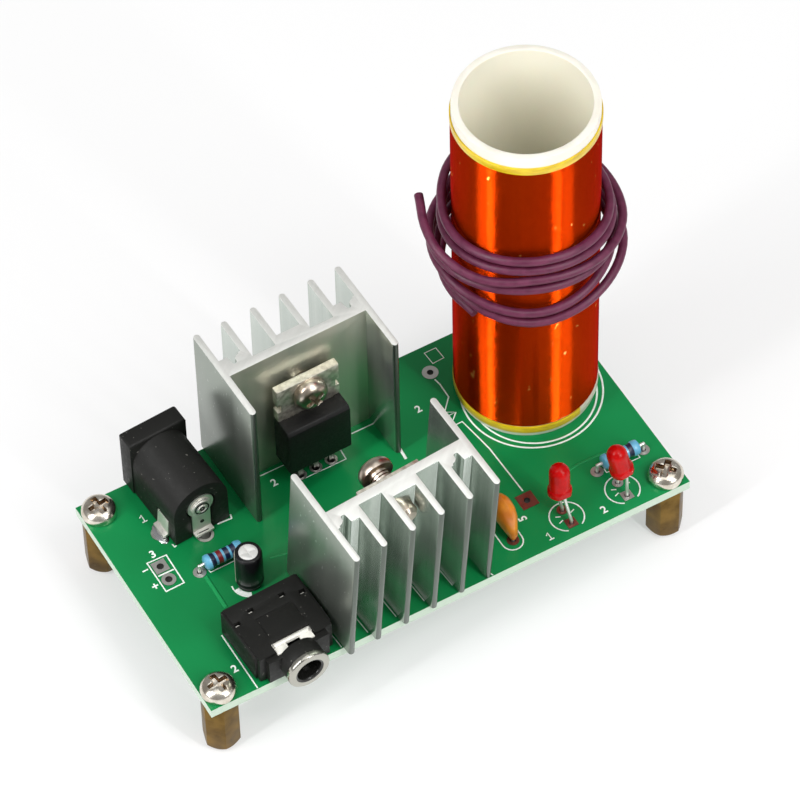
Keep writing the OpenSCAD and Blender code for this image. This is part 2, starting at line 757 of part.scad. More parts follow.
// Moulded housing: round boss in front, window over the sleeve spring, four slots
module audio_jack_housing() {
    w = audio_jack_w;
    color("#1f2022")
    audio_frame()
    difference() {
        union() {
            translate([0, 0, jack_foot_h]) {
                translate([-w / 2 + 0.3, 0.9, 0])
                    cube([w - 0.6, audio_jack_l - 0.9, audio_jack_h - jack_foot_h]);
                translate([-w / 2, 1.7, 0]) cube([w, audio_jack_l - 1.7, audio_jack_h - jack_foot_h - 0.2]);
                translate([-w / 2 + 1.3, 0, 0]) cube([w - 2.6, 2, audio_jack_h - jack_foot_h - 0.5]);
            }
            jack_feet(w / 2 - 0.9, [2.6, audio_jack_l - 0.9]);
            translate([0, -nose_l, audio_axis_up]) rotate([-90, 0, 0]) intersection() {
                cylinder(h = nose_l + 2.4, r = lip_r - 0.1);
                translate([-5, -5, -1]) cube([10, 5 + audio_axis_up - jack_foot_h, nose_l + 5]);
            }
        }
        translate([0, bushing_seat - fit, audio_axis_up])
            rotate([-90, 0, 0]) cylinder(h = audio_jack_l - bushing_seat - 0.9, r = plug_r + 0.2);
        translate([0, -nose_l - cut, audio_axis_up])
            rotate([-90, 0, 0]) cylinder(h = nose_l + bushing_seat + cut, r = 2.4);
        translate([-window_w / 2, bushing_seat, audio_axis_up]) cube([window_w, window_d, audio_jack_h]);
        translate([tip_x - 1.4, tip_y - 4.2, audio_axis_up - 0.9]) cube([2.2, 4.3, 1.8]);
        for (p = audio_pins) {
            translate([p[0] - blade_w / 2 - slot_gap, p[1] - blade_t / 2 - slot_gap, -cut])
                cube([blade_w + 2 * slot_gap, blade_t + 2 * slot_gap, audio_jack_h + 2 * cut]);
        }
        translate([-2.8, 3.7, audio_jack_h - 0.12]) difference() {
            cube([6, 3.5, cut]);
            translate([0.25, -cut, -cut]) cube([5.5, 3.25 + cut, 3 * cut]);
        }
    }
}

// Turned bushing, pressed into the housing's nose up to its rounded lip
module audio_jack_bushing() {
    color("silver")
    audio_frame()
    translate([0, 0, audio_axis_up]) rotate([90, 0, 0])
    rotate_extrude() polygon([
        [plug_r, 0.02 - bushing_seat], [2.39, 0.02 - bushing_seat], [2.39, nose_l + 0.02],
        [lip_r - 0.1, nose_l + 0.02], [lip_r, nose_l + 0.12], [lip_r, bushing_l - 0.3],
        [lip_r - 0.1, bushing_l - 0.1], [lip_r - 0.35, bushing_l], [plug_r + 0.45, bushing_l],
        [plug_r + 0.1, bushing_l - 0.15], [plug_r, bushing_l - 0.5]
    ]);
}

// Contact blades, each in a slot of the housing with its foot through the board
module audio_jack_terminals() {
    color("silver")
    audio_frame()
    for (k = [0:len(audio_pins) - 1]) {
        top = k < 4 ? audio_jack_h - 0.6 : 0.7;
        translate([audio_pins[k][0] - blade_w / 2, audio_pins[k][1] - blade_t / 2, -board_t - tail])
            cube([blade_w, blade_t, top + board_t + tail]);
    }
}

// Sleeve contact in the window: a folded bar with two feet that bear on the plug
module audio_jack_sleeve_contact() {
    z = audio_axis_up + plug_r;
    y = bushing_seat + window_d - fit;
    color("silver")
    audio_frame()
    union() {
        translate([-window_w / 2 + fit, y - 0.9, z]) cube([window_w - 2 * fit, 0.9, 0.15]);
        translate([-2.75, y - 0.55, z + 0.22]) rotate([0, 90, 0]) cylinder(h = 5.4, r = 0.33);
        for (x = [-3, 1]) {
            translate([x, bushing_seat + 0.02, z]) cube([1.9, 1.15, 0.3]);
        }
    }
}

// Tip spring: a leaf that bows into the bore and is pushed aside by the plug's tip
module audio_jack_tip_spring() {
    t = 0.2;
    color("goldenrod")
    audio_frame()
    translate([tip_x, tip_y, audio_axis_up - 0.6]) linear_extrude(height = 1.2) polygon([
        [0, 0], [-1.1, -2.6], [-0.6, -3.6], [-0.6 + t, -3.6], [-1.1 + t, -2.6], [t, 0]
    ]);
}

module coil_tube() {
    color("ivory")
    translate([coil_x, coil_y, board_top])
    difference() {
        cylinder(h = tube_h, r = tube_r);
        translate([0, 0, -cut]) cylinder(h = tube_h + 2 * cut, r = tube_r - tube_wall);
    }
}

// Closed sleeve round the tube, between two heights above the board
module sleeve(low, high, t) {
    translate([coil_x, coil_y, board_top + low])
    difference() {
        cylinder(h = high - low, r = tube_r + t);
        translate([0, 0, -cut]) cylinder(h = high - low + 2 * cut, r = tube_r + fit);
    }
}

winding_low = bare_bottom + tape_w;
winding_high = tube_h - bare_top - tape_w;

// One close layer of fine enamelled wire
module secondary_winding() {
    color("orangered") sleeve(winding_low, winding_high, winding_t);
}

module lower_tape() {
    color("gold") sleeve(bare_bottom, winding_low, tape_t);
}

module upper_tape() {
    color("gold") sleeve(winding_high, winding_high + tape_w, tape_t);
}

// The loose primary: one insulated wire in six turns, both of its ends free
module primary_wire() {
    rings = [
        for (k = [0:wire_count - 1]) let (
            p = wire_path[k],
            along = wire_along(k),
            out = unit([p[0], p[1], 0] - along * (along * [p[0], p[1], 0])),
            side = cross(along, out)
        ) for (s = [0:wire_sides - 1]) let (a = 360 * s / wire_sides)
            p + wire_d / 2 * (out * cos(a) + side * sin(a))
    ];
    n = wire_sides;
    last = (wire_count - 1) * n;
    walls = [
        for (k = [0:wire_count - 2]) for (s = [0:n - 1]) let (
            a = k * n + s,
            b = k * n + (s + 1) % n
        ) each [[a, a + n, b], [b, a + n, b + n]]
    ];
    caps = [for (s = [1:n - 2]) each [[0, s, s + 1], [last, last + s + 1, last + s]]];
    color("#5b3560")
    translate([coil_x, coil_y, board_top + wire_lift])
        polyhedron(points = rings, faces = concat(walls, caps));
}

// Body of a resistor along X, waisted between its two end caps
module resistor_body(at) {
    l = resistor_l / 2;
    r = resistor_r;
    waist = r * 0.84;
    color("skyblue")
    translate([at[0], at[1], board_top + r + 0.35]) rotate([0, 90, 0])
    rotate_extrude() polygon([
        [0, -l], [r * 0.6, -l], [r * 0.93, -l + 0.2], [r, -l + 0.5], [r, -l + 1], [waist, -l + 1.5],
        [waist, l - 1.5], [r, l - 1], [r, l - 0.5], [r * 0.93, l - 0.2], [r * 0.6, l], [0, l]
    ]);
}

// A resistor's two leads: out of the caps, then down through the board
module resistor_leads(at) {
    z = resistor_r + 0.35;
    color("silver")
    translate([at[0], at[1], board_top])
    for (s = [-1, 1]) {
        round_lead([
            [s * resistor_l / 2, 0, z], [s * resistor_pitch / 2, 0, z],
            [s * resistor_pitch / 2, 0, -board_t - tail]
        ], wire_lead_r);
    }
}

can_wall = 0.15;
can_foot = 0.6;

// Aluminium can of the upright capacitor, with a scored cross in its top
module upright_capacitor_can() {
    r = can_r - can_wall;
    top = can_h - 0.08;
    color("silver")
    translate([can_at[0], can_at[1], board_top])
    difference() {
        rotate_extrude() polygon([
            [0, can_foot + 0.3], [r, can_foot + 0.3], [r, top - 0.5], [r - 0.15, top - 0.15],
            [r - 0.5, top], [0, top]
        ]);
        for (a = [0, 90]) {
            rotate([0, 0, a]) translate([-1, -0.06, top - 0.12]) cube([2, 0.12, 0.5]);
        }
    }
}

// Printed sleeve, shrunk over the can and rolled over its top edge
module upright_capacitor_sleeve() {
    r = can_r;
    i = can_r - can_wall + fit;
    top = can_h - 0.08;
    color("#1b1b1d")
    translate([can_at[0], can_at[1], board_top])
    rotate_extrude() polygon([
        [i, can_foot], [r - 0.1, can_foot], [r, can_foot + 0.15], [r, can_foot + 0.5], [r - 0.1, can_foot + 0.75],
        [r, can_foot + 1], [r, can_h - 0.5], [r - 0.15, can_h - 0.12], [r - 0.45, can_h],
        [r - 0.6, can_h], [i - 0.5, top + fit], [i - 0.15, top - 0.13], [i, top - 0.5]
    ]);
}

// Rubber bung that closes the can's foot
module upright_capacitor_bung() {
    color("#2a2a2a")
    translate([can_at[0], can_at[1], board_top + 0.1])
    difference() {
        cylinder(h = can_foot + 0.15, r = can_r - can_wall - 0.05);
        for (s = [-1, 1]) {
            translate([0, s * can_pitch / 2, -cut]) cylinder(h = 2, r = wire_lead_r + fit);
        }
    }
}

module upright_capacitor_leads() {
    color("silver")
    translate([can_at[0], can_at[1], board_top])
    for (s = [-1, 1]) {
        bar([0, s * can_pitch / 2, -board_t - tail], [0, s * can_pitch / 2, can_foot + 0.2], wire_lead_r);
    }
}

// Dipped body: a rounded lens of resin that runs down onto both leads
module dipped_capacitor_body() {
    color("orange")
    translate([dipped_at[0], dipped_at[1], board_top])
    hull() {
        translate([0, 0, dipped_h / 2 + 1.1]) scale(dipped_h / 2)
            rotate([0, 90, 0]) rotate_extrude($fn = 32) polygon([
                for (k = [0:8]) let (a = -90 + 22.5 * k) [cos(a), dipped_t / dipped_h * sin(a)]
            ]);
        for (s = [-1, 1]) {
            translate([0, s * dipped_pitch / 2, 0.5]) cylinder(h = 1, r1 = 0.4, r2 = 0.7, $fn = 16);
        }
    }
}

module dipped_capacitor_leads() {
    color("silver")
    translate([dipped_at[0], dipped_at[1], board_top])
    for (s = [-1, 1]) {
        bar([0, s * dipped_pitch / 2, -board_t - tail], [0, s * dipped_pitch / 2, 0.49], wire_lead_r);
    }
}

// Carries its children to a diode that leans and stands a little beside its
// holes, as its bent leads hold it. Its flange is at z = 0.
module led_frame(at, up, tilt, shift) {
    translate([at[0] + shift[0], at[1] + shift[1], board_top])
        rotate([tilt[0], tilt[1], 0]) translate([0, 0, up]) children();
}

// Clear red lens: a dome on a flange with one flat side
module led_lens(at, up, tilt, shift) {
    neck = lens_h - lens_r;
    color("red")
    led_frame(at, up, tilt, shift)
    difference() {
        rotate_extrude() polygon(concat(
            [[0, 0], [lens_r + flange_out, 0], [lens_r + flange_out, 0.8], [lens_r, 1.1]],
            [for (k = [0:9]) [lens_r * cos(10 * k), neck + lens_r * sin(10 * k)]]
        ));
        translate([-3, -lens_r - 3, -cut]) cube([6, 3 - 0.05, 1 + cut]);
    }
}

// Two leads: straight up through the board, then with the lens's lean into its flange
module led_leads(at, up, tilt, shift) {
    half = lead_pitch / 2;
    color("silver")
    translate([at[0], at[1], board_top])
    for (s = [-1, 1]) {
        y = s * half;
        top = [
            shift[0] + up * sin(tilt[1]) * cos(tilt[0]),
            shift[1] + y * cos(tilt[0]) - up * sin(tilt[0]) * cos(tilt[1]),
            y * sin(tilt[0]) + up * cos(tilt[0]) * cos(tilt[1])
        ];
        round_lead([[0, y, -board_t - tail], [0, y, 0.5], top - unit(top - [0, y, 0.5]) * 0.1], wire_lead_r);
    }
}

circuit_board();
plated_holes();
solder_joints();
pillars();
corner_screws();
heat_sink(REAR);  // rear_heat_sink
transistor_body(REAR);  // rear_transistor_body
transistor_tab(REAR);  // rear_transistor_tab
transistor_leads(REAR);  // rear_transistor_leads
sink_screw(REAR);  // rear_sink_screw
heat_sink(FRONT);  // front_heat_sink
transistor_body(FRONT);  // front_transistor_body
transistor_tab(FRONT);  // front_transistor_tab
transistor_leads(FRONT);  // front_transistor_leads
sink_screw(FRONT);  // front_sink_screw
power_jack_housing();
power_jack_centre_pin();
power_jack_rear_terminal();
power_jack_side_terminal();
power_jack_spring_foot();
power_jack_spring();
audio_jack_housing();
audio_jack_bushing();
audio_jack_terminals();
audio_jack_sleeve_contact();
audio_jack_tip_spring();
coil_tube();
secondary_winding();
lower_tape();
upper_tape();
primary_wire();
resistor_body(resistor_1_at);  // resistor_1_body
resistor_leads(resistor_1_at);  // resistor_1_leads
resistor_body(resistor_2_at);  // resistor_2_body
resistor_leads(resistor_2_at);  // resistor_2_leads
upright_capacitor_can();
upright_capacitor_sleeve();
upright_capacitor_bung();
upright_capacitor_leads();
dipped_capacitor_body();
dipped_capacitor_leads();
led_lens(led_1_at, led_1_up, led_1_tilt, led_1_shift);  // led_1_lens
led_leads(led_1_at, led_1_up, led_1_tilt, led_1_shift);  // led_1_leads
led_lens(led_2_at, led_2_up, led_2_tilt, led_2_shift);  // led_2_lens
led_leads(led_2_at, led_2_up, led_2_tilt, led_2_shift);  // led_2_leads
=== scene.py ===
import json
import math
import bpy
from mathutils import Matrix, Vector

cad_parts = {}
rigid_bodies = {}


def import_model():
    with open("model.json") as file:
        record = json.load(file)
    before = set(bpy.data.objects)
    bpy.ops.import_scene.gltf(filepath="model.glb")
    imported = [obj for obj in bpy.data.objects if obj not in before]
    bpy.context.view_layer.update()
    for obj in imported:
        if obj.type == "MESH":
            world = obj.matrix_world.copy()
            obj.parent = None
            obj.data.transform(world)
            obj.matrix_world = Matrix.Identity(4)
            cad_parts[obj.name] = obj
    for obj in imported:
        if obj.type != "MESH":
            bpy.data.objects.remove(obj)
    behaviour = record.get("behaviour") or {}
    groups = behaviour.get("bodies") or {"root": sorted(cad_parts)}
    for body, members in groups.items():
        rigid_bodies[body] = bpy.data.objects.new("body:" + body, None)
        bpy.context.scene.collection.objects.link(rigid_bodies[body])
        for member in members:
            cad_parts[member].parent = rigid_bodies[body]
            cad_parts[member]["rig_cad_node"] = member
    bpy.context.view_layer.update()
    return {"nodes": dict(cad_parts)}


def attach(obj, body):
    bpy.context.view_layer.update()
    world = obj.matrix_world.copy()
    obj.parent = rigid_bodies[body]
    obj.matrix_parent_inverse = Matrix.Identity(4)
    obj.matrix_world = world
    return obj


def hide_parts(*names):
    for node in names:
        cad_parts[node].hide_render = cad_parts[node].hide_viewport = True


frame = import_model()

# Viewpoint
# A long lens looks down on the board from its front left corner, as the
# photographer did. The picture is square. Lengths are written in millimetres.
mm = 0.001
camera_back = Vector((-0.2889, -0.5311, 0.7965)).normalized()
camera_target = Vector((10.42, 13.32, 11.6)) * mm
camera_distance = 784.65
roll = math.radians(-1.583)
level_right = camera_back.cross(Vector((0, 0, 1))).normalized() * -1
level_up = camera_back.cross(level_right)
camera_right = level_right * math.cos(roll) + level_up * math.sin(roll)
camera_up = level_up * math.cos(roll) - level_right * math.sin(roll)
camera_data = bpy.data.cameras.new("camera")
camera_data.lens = 247.1
camera_data.sensor_width = 36
camera_data.clip_end = 10
camera = bpy.data.objects.new("camera", camera_data)
bpy.context.scene.collection.objects.link(camera)
camera.matrix_world = Matrix.Translation(camera_target + camera_back * camera_distance * mm) @ Matrix((
    (camera_right.x, camera_up.x, camera_back.x, 0),
    (camera_right.y, camera_up.y, camera_back.y, 0),
    (camera_right.z, camera_up.z, camera_back.z, 0),
    (0, 0, 0, 1)))
bpy.context.scene.camera = camera

# Primary wire
# One length of violet insulated hook-up wire, wound loosely by hand in six
# turns round the secondary. It holds by its own spring, and both ends are free.
board_top = 11.6
coil_centre = (27.8, 7.5)
coil_r = 10.35
wire_gap = 0.4
wire_d = 1.3
wire_front = -111
first_end, last_end = -0.27, 5.855

# Height of each turn above the board, and its bulge away from the coil in units
# of bulge_reach, as it passes the front, the right, the back and the left
front_up = [36.95, 41.05, 39.1, 34.9, 29.7, 27.6, 27]
right_up = [36.6, 40, 38.1, 34.8, 32.85, 31.4]
left_up = [40.2, 38.2, 35.1, 33.1, 31.2, 27.9]
right_bulge = [1.35, 0.1, 0.35, 0.6, 0.35, 1.45]
back_bulge = [1.75, 0.1, 0.1, 0.35, 0.4, 0.8]
left_bulge = [0.1, 0.25, 1.35, 1.25, 0.7, 0.3]
bulge_reach = 1.5
free_end_up, free_end_bulge = 40.6, 2.1

# Parts of a turn over which the height or the bulge changes, each from where and how long
rise_to_right, rise_to_left, rise_to_front = (0, 0.25), (0.28, 0.4), (0.75, 0.25)
free_end_rise, free_end_swing = (0.07, 0.2), (0, 0.21)


def ease(u):
    """Runs smoothly from 0 to 1."""
    return 0 if u <= 0 else 1 if u >= 1 else u * u * (3 - 2 * u)


def eased_over(u, part):
    """Runs smoothly from 0 to 1 over a part of a turn, given as its start and its length."""
    return ease((u - part[0]) / part[1])


def mix(a, b, u):
    """The value that lies a share u of the way from a to b."""
    return a + (b - a) * u


def wire_point(t):
    """Centre of the wire after t turns from the front, in millimetres."""
    if t < 0:
        bulge = mix(0, free_end_bulge, eased_over(-t, free_end_swing))
        up = mix(front_up[0], free_end_up, eased_over(-t, free_end_rise))
    else:
        turn = math.floor(t)
        u = t - turn
        quarters = [0, right_bulge[turn], back_bulge[turn], left_bulge[turn], 0]
        part = min(math.floor(u * 4), 3)
        bulge = mix(quarters[part], quarters[part + 1], ease(u * 4 - part))
        at_right = mix(front_up[turn], right_up[turn], eased_over(u, rise_to_right))
        at_left = mix(at_right, left_up[turn], eased_over(u, rise_to_left))
        up = mix(at_left, front_up[turn + 1], eased_over(u, rise_to_front))
    angle = math.radians(wire_front + 360 * t)
    reach = coil_r + wire_gap + wire_d / 2 + bulge_reach * bulge
    x, y = coil_centre
    return Vector((x + reach * math.cos(angle), y + reach * math.sin(angle), board_top + up))


def between(before, start, end, after, u):
    """Point of a smooth curve from start to end, which heads on from before and to after."""
    return 0.5 * (2 * start + (end - before) * u + (2 * before - 5 * start + 4 * end - after) * u * u
                  + (3 * start - before - 3 * end + after) * u ** 3)


points_a_turn, points_between = 24, 3
wire_steps = round((last_end - first_end) * points_a_turn)
wire_route = [wire_point(mix(first_end, last_end, k / wire_steps)) for k in range(wire_steps + 1)]
wire_route.insert(0, wire_route[0] - (wire_route[1] - wire_route[0]).normalized() * wire_d)
wire_route.append(wire_route[-1] + (wire_route[-1] - wire_route[-2]).normalized() * wire_d)
fine_route = []
for k in range(len(wire_route) - 1):
    before, after = wire_route[max(k - 1, 0)], wire_route[min(k + 2, len(wire_route) - 1)]
    for step in range(points_between):
        fine_route.append(between(before, wire_route[k], wire_route[k + 1], after, step / points_between))
fine_route.append(wire_route[-1])


def material(name, colour, roughness, metallic=0.0, **more):
    """Principled material with its shader's own sockets set."""
    made = bpy.data.materials.new(name)
    made.use_nodes = True
    shader = made.node_tree.nodes["Principled BSDF"]
    shader.inputs["Base Color"].default_value = (*colour, 1)
    shader.inputs["Roughness"].default_value = roughness
    shader.inputs["Metallic"].default_value = metallic
    for socket, value in more.items():
        shader.inputs[socket.replace("_", " ")].default_value = value
    return made


def grain(made, scale, stretch=(1, 1, 1), turn=(0, 0, 0), detail=4):
    """Noise on Object coordinates, stretched and turned by a Mapping node. Scale is in patches a metre."""
    nodes, links = made.node_tree.nodes, made.node_tree.links
    place = nodes.new("ShaderNodeTexCoord")
    mapping = nodes.new("ShaderNodeMapping")
    mapping.vector_type = "TEXTURE"
    mapping.inputs["Scale"].default_value = stretch
    mapping.inputs["Rotation"].default_value = turn
    noise = nodes.new("ShaderNodeTexNoise")
    noise.inputs["Scale"].default_value = scale
    noise.inputs["Detail"].default_value = detail
    links.new(place.outputs["Object"], mapping.inputs["Vector"])
    links.new(mapping.outputs["Vector"], noise.inputs["Vector"])
    return noise.outputs["Fac"]


def set_socket(made, name, value):
    """Links a value to one of the shader's sockets."""
    made.node_tree.links.new(value, made.node_tree.nodes["Principled BSDF"].inputs[name])


def two_tone(made, factor, low, high, low_at=0.35, high_at=0.65):
    """Colours the surface from low to high as the factor rises."""
    ramp = made.node_tree.nodes.new("ShaderNodeValToRGB")
    ramp.color_ramp.elements[0].position = low_at
    ramp.color_ramp.elements[0].color = (*low, 1)
    ramp.color_ramp.elements[1].position = high_at
    ramp.color_ramp.elements[1].color = (*high, 1)
    made.node_tree.links.new(factor, ramp.inputs["Fac"])
    set_socket(made, "Base Color", ramp.outputs["Color"])
    return ramp.outputs["Color"]


def ranged(made, factor, from_low, from_high, to_low, to_high):
    """Moves a value from one range into another, and holds it between the ends."""
    node = made.node_tree.nodes.new("ShaderNodeMapRange")
    ends = {"From Min": from_low, "From Max": from_high, "To Min": to_low, "To Max": to_high}
    for socket, value in ends.items():
        node.inputs[socket].default_value = value
    made.node_tree.links.new(factor, node.inputs["Value"])
    return node.outputs["Result"]


def rough_range(made, factor, low, high):
    """Roughness that varies between two values with the factor, over its middle part."""
    set_socket(made, "Roughness", ranged(made, factor, 0.3, 0.7, low, high))


def bumped(made, factor, height_mm, strength):
    """Relief from the factor, its full height in millimetres."""
    bump = made.node_tree.nodes.new("ShaderNodeBump")
    bump.inputs["Strength"].default_value = strength
    bump.inputs["Distance"].default_value = height_mm * mm
    made.node_tree.links.new(factor, bump.inputs["Height"])
    set_socket(made, "Normal", bump.outputs["Normal"])


route_data = bpy.data.curves.new("primary_winding", "CURVE")
route_data.dimensions = "3D"
spline = route_data.splines.new("POLY")
spline.points.add(len(fine_route) - 1)
for point, place in zip(spline.points, fine_route):
    point.co = (*(place * mm), 1)
route_data.bevel_depth = wire_d / 2 * mm
route_data.bevel_resolution = 5
route_data.use_fill_caps = True
primary_winding = bpy.data.objects.new("primary_winding", route_data)
bpy.context.scene.collection.objects.link(primary_winding)

violet = material("violet_insulation", (0.11, 0.020, 0.054), 0.42, Specular_IOR_Level=0.4)
mottle = grain(violet, 900, detail=5)
two_tone(violet, mottle, (0.095, 0.014, 0.043), (0.155, 0.026, 0.070), 0.3, 0.72)
rough_range(violet, mottle, 0.34, 0.52)
bumped(violet, grain(violet, 4200), 0.02, 0.35)
primary_winding.data.materials.append(violet)
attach(primary_winding, "primary_coil")
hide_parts("primary_wire")

# Circuit board
# Glass and epoxy laminate, 1.6 mm, cut to size with a router. Both faces have a
# glossy green mask over the copper, and the cut edges show the cream laminate.
nodes_of = frame["nodes"]


def joined(made, operation, *values):
    """One Math node over its values, each a socket or a number."""
    node = made.node_tree.nodes.new("ShaderNodeMath")
    node.operation = operation
    for socket, value in zip(node.inputs, values):
        if isinstance(value, (int, float)):
            socket.default_value = value
        else:
            made.node_tree.links.new(value, socket)
    return node.outputs[0]


def facing(made, axis, least):
    """1 on faces that look along an axis, either way, within a limit on their normal, else 0."""
    nodes, links = made.node_tree.nodes, made.node_tree.links
    normal = nodes.new("ShaderNodeNewGeometry")
    split = nodes.new("ShaderNodeSeparateXYZ")
    links.new(normal.outputs["Normal"], split.inputs["Vector"])
    return joined(made, "GREATER_THAN", joined(made, "ABSOLUTE", split.outputs[axis]), least)


def blend_colour(made, factor, low, high):
    """Mixes two colours, each a socket or three numbers, and returns the mix."""
    node = made.node_tree.nodes.new("ShaderNodeMix")
    node.data_type = "RGBA"
    made.node_tree.links.new(factor, node.inputs["Factor"])
    for name, value in (("A", low), ("B", high)):
        socket = [one for one in node.inputs if one.name == name and one.type == "RGBA"][0]
        if isinstance(value, tuple):
            socket.default_value = (*value, 1)
        else:
            made.node_tree.links.new(value, socket)
    return [one for one in node.outputs if one.type == "RGBA"][0]


def finish_with(piece, made):
    """Puts one material on a piece or a CAD node."""
    piece.data.materials.clear()
    piece.data.materials.append(made)


mask_green = material("green_mask", (0.004, 0.23, 0.06), 0.3, Specular_IOR_Level=0.24, Coat_Weight=0.05,
                      Coat_Roughness=0.12)
patches = grain(mask_green, 45, detail=2)
mask_tone = two_tone(mask_green, patches, (0.003, 0.190, 0.050), (0.005, 0.250, 0.068))
cut_edge = (0.56, 0.68, 0.56)
both_faces = facing(mask_green, "Z", 0.6)
set_socket(mask_green, "Base Color", blend_colour(mask_green, both_faces, cut_edge, mask_tone))
bumped(mask_green, grain(mask_green, 1500, detail=3), 0.012, 0.2)
finish_with(nodes_of["circuit_board"], mask_green)

# Printed outlines
# White epoxy ink, screened on the board: the coil's two circles, the primary's
# zigzag, and the outline of each component. Numbers only, no words.
ink = material("white_ink", (0.90, 0.95, 0.90), 0.5)
two_tone(ink, grain(ink, 2500), (0.78, 0.88, 0.80), (0.94, 0.98, 0.94), 0.25, 0.6)
bumped(ink, grain(ink, 6000), 0.01, 0.4)
stroke_lift, stroke_flatness = 0.012, 0.12
ring_points_a_mm, fewest_points = 12, 8
figure_size, figure_lift, figure_bold, figure_film = 1.7, 0.014, 0.04, 0.012
ink_pieces = []


def deselect():
    """Leaves edit mode, and selects nothing."""
    if bpy.context.object and bpy.context.object.mode != "OBJECT":
        bpy.ops.object.mode_set(mode="OBJECT")
    bpy.ops.object.select_all(action="DESELECT")


def take(piece):
    """Makes one object the selected and active one."""
    deselect()
    piece.select_set(True)
    bpy.context.view_layer.objects.active = piece


def ink_line(points, width=0.22, closed=False):
    """A flat stroke of ink on the board through the points, in millimetres."""
    data = bpy.data.curves.new("ink_line", "CURVE")
    data.dimensions = "3D"
    stroke = data.splines.new("POLY")
    stroke.points.add(len(points) - 1)
    for point, (x, y) in zip(stroke.points, points):
        point.co = (x * mm, y * mm, 0, 1)
    stroke.use_cyclic_u = closed
    data.bevel_depth = width / 2 * mm
    data.bevel_resolution = 1
    data.use_fill_caps = True
    line = bpy.data.objects.new("ink_line", data)
    bpy.context.scene.collection.objects.link(line)
    take(line)
    bpy.ops.object.convert(target="MESH")
    line = bpy.context.object
    line.data.transform(Matrix.Translation((0, 0, (board_top + stroke_lift) * mm))
                        @ Matrix.Diagonal((1, 1, stroke_flatness, 1)))
    ink_pieces.append(line)


def ink_circle(x, y, r, start=0, sweep=360, width=0.22):
    """A ring or an arc of ink."""
    count = max(fewest_points, round(r * sweep / 360 * ring_points_a_mm))
    whole = sweep == 360
    ink_line([(x + r * math.cos(math.radians(start + sweep * k / count)),
               y + r * math.sin(math.radians(start + sweep * k / count)))
              for k in range(count if whole else count + 1)], width, whole)


def ink_number(text, x, y, size=figure_size, turn=0):
    """A plain number or sign of ink, centred on its place."""
    data = bpy.data.curves.new("ink_number", "FONT")
    data.body = text
    data.align_x = "CENTER"
    data.align_y = "CENTER"
    data.size = size * mm
    data.offset = figure_bold * mm
    data.extrude = figure_film * mm
    figure = bpy.data.objects.new("ink_number", data)
    bpy.context.scene.collection.objects.link(figure)
    take(figure)
    bpy.ops.object.convert(target="MESH")
    figure = bpy.context.object
    figure.data.transform(Matrix.Translation((x * mm, y * mm, (board_top + figure_lift) * mm))
                          @ Matrix.Rotation(math.radians(turn), 4, "Z"))
    ink_pieces.append(figure)


def ink_one(x, y):
    """The figure 1 as two strokes, which reads better at this size than the font's."""
    foot, head = y - 0.62, y + 0.62
    ink_line([(x - 0.42, y + 0.22), (x, head), (x, foot)], 0.2)
    ink_line([(x - 0.4, foot), (x + 0.4, foot)], 0.2)


def join_ink(name, made):
    """Joins what was drawn so far into one piece of the board."""
    deselect()
    for line in ink_pieces:
        line.select_set(True)
    bpy.context.view_layer.objects.active = ink_pieces[0]
    bpy.ops.object.join()
    piece = bpy.context.object
    piece.name = name
    finish_with(piece, made)
    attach(piece, "root")
    ink_pieces.clear()


# The coil's circles, which the tube stands behind the middle of, the zigzag of
# the primary with its lead, and the test square
for x, y, r in ((27.48, 5.28, 10.24), (27.51, 4.9, 9.14)):
    ink_circle(x, y, r, width=0.29)
ink_line([(16.55, 14.0), (16.75, 12.87), (16.68, 10.26), (14.8, 8.18), (16.18, 7.4), (14.87, 7.37),
          (14.83, 6.07), (16.19, 7.38)], 0.24)
ink_line([(14.83, 6.07), (14.97, 5.43), (16.14, 5.47), (16.76, 1.52), (17.07, -0.73), (17.33, -9.47)], 0.24)
ink_line([(17.63, 18.87), (19.52, 18.88), (19.65, 16.73), (17.75, 16.63)], 0.2, True)

# Header box with its middle line and its signs
ink_line([(-34.33, 6.4), (-31.32, 6.32), (-31.42, 0.87), (-34.29, 0.8)], 0.3, True)
ink_line([(-34.03, 3.65), (-31.57, 3.62)], 0.26)
ink_line([(-35.55, 5.43), (-34.69, 5.45)], 0.26)
ink_number("+", -35.19, 2.29, 1.8)

# What shows of the outlines of the two jacks and the two resistors
ink_line([(-29.69, 7.5), (-29.64, 6.93), (-29.31, 7.01)])
ink_line([(-22.58, 7.39), (-20.37, 7.23), (-20.21, 7.91)], 0.3)
ink_line([(-31.16, -9.6), (-31.15, -19.9)])
ink_line([(-16.84, -16.98), (-16.58, -19.05)])
ink_line([(-27.39, 1.4), (-27.39, 0.56), (-22.6, 0.6), (-22.6, 1.4)])
ink_line([(34.6, -11.9), (34.62, -12.8), (29.19, -12.7), (29.2, -11.9)])

# Upright capacitor: an arc with its filled side, drawn as arcs that touch
can_x, can_y = -23.4, -3.6
ink_circle(can_x, can_y, 2.62, 168, 130)
for r in (1.95, 2.1, 2.25, 2.4):
    ink_circle(can_x, can_y, r, 186, 62)

# Dipped capacitor: two straight sides with round ends
dipped_x, dipped_half, dipped_back, dipped_front = 11.65, 1.55, -9.8, -16.2
for side in (-1, 1):
    ink_line([(dipped_x + side * dipped_half, dipped_back), (dipped_x + side * dipped_half, dipped_front)])
ink_circle(dipped_x, dipped_back, dipped_half, 0, 180)
ink_circle(dipped_x, dipped_front, dipped_half, 180, 180)

# Diodes: an open circle each, with rays
for x, y in ((20.4, -16.4), (29.6, -16.3)):
    ink_circle(x, y, 2.5, -61, 307)
    for ray in (20, 65, 155, 200, 245):
        way = Vector((math.cos(math.radians(ray)), math.sin(math.radians(ray))))
        ink_line([(x + r * way.x, y + r * way.y) for r in (0.85, 1.6)], 0.18)

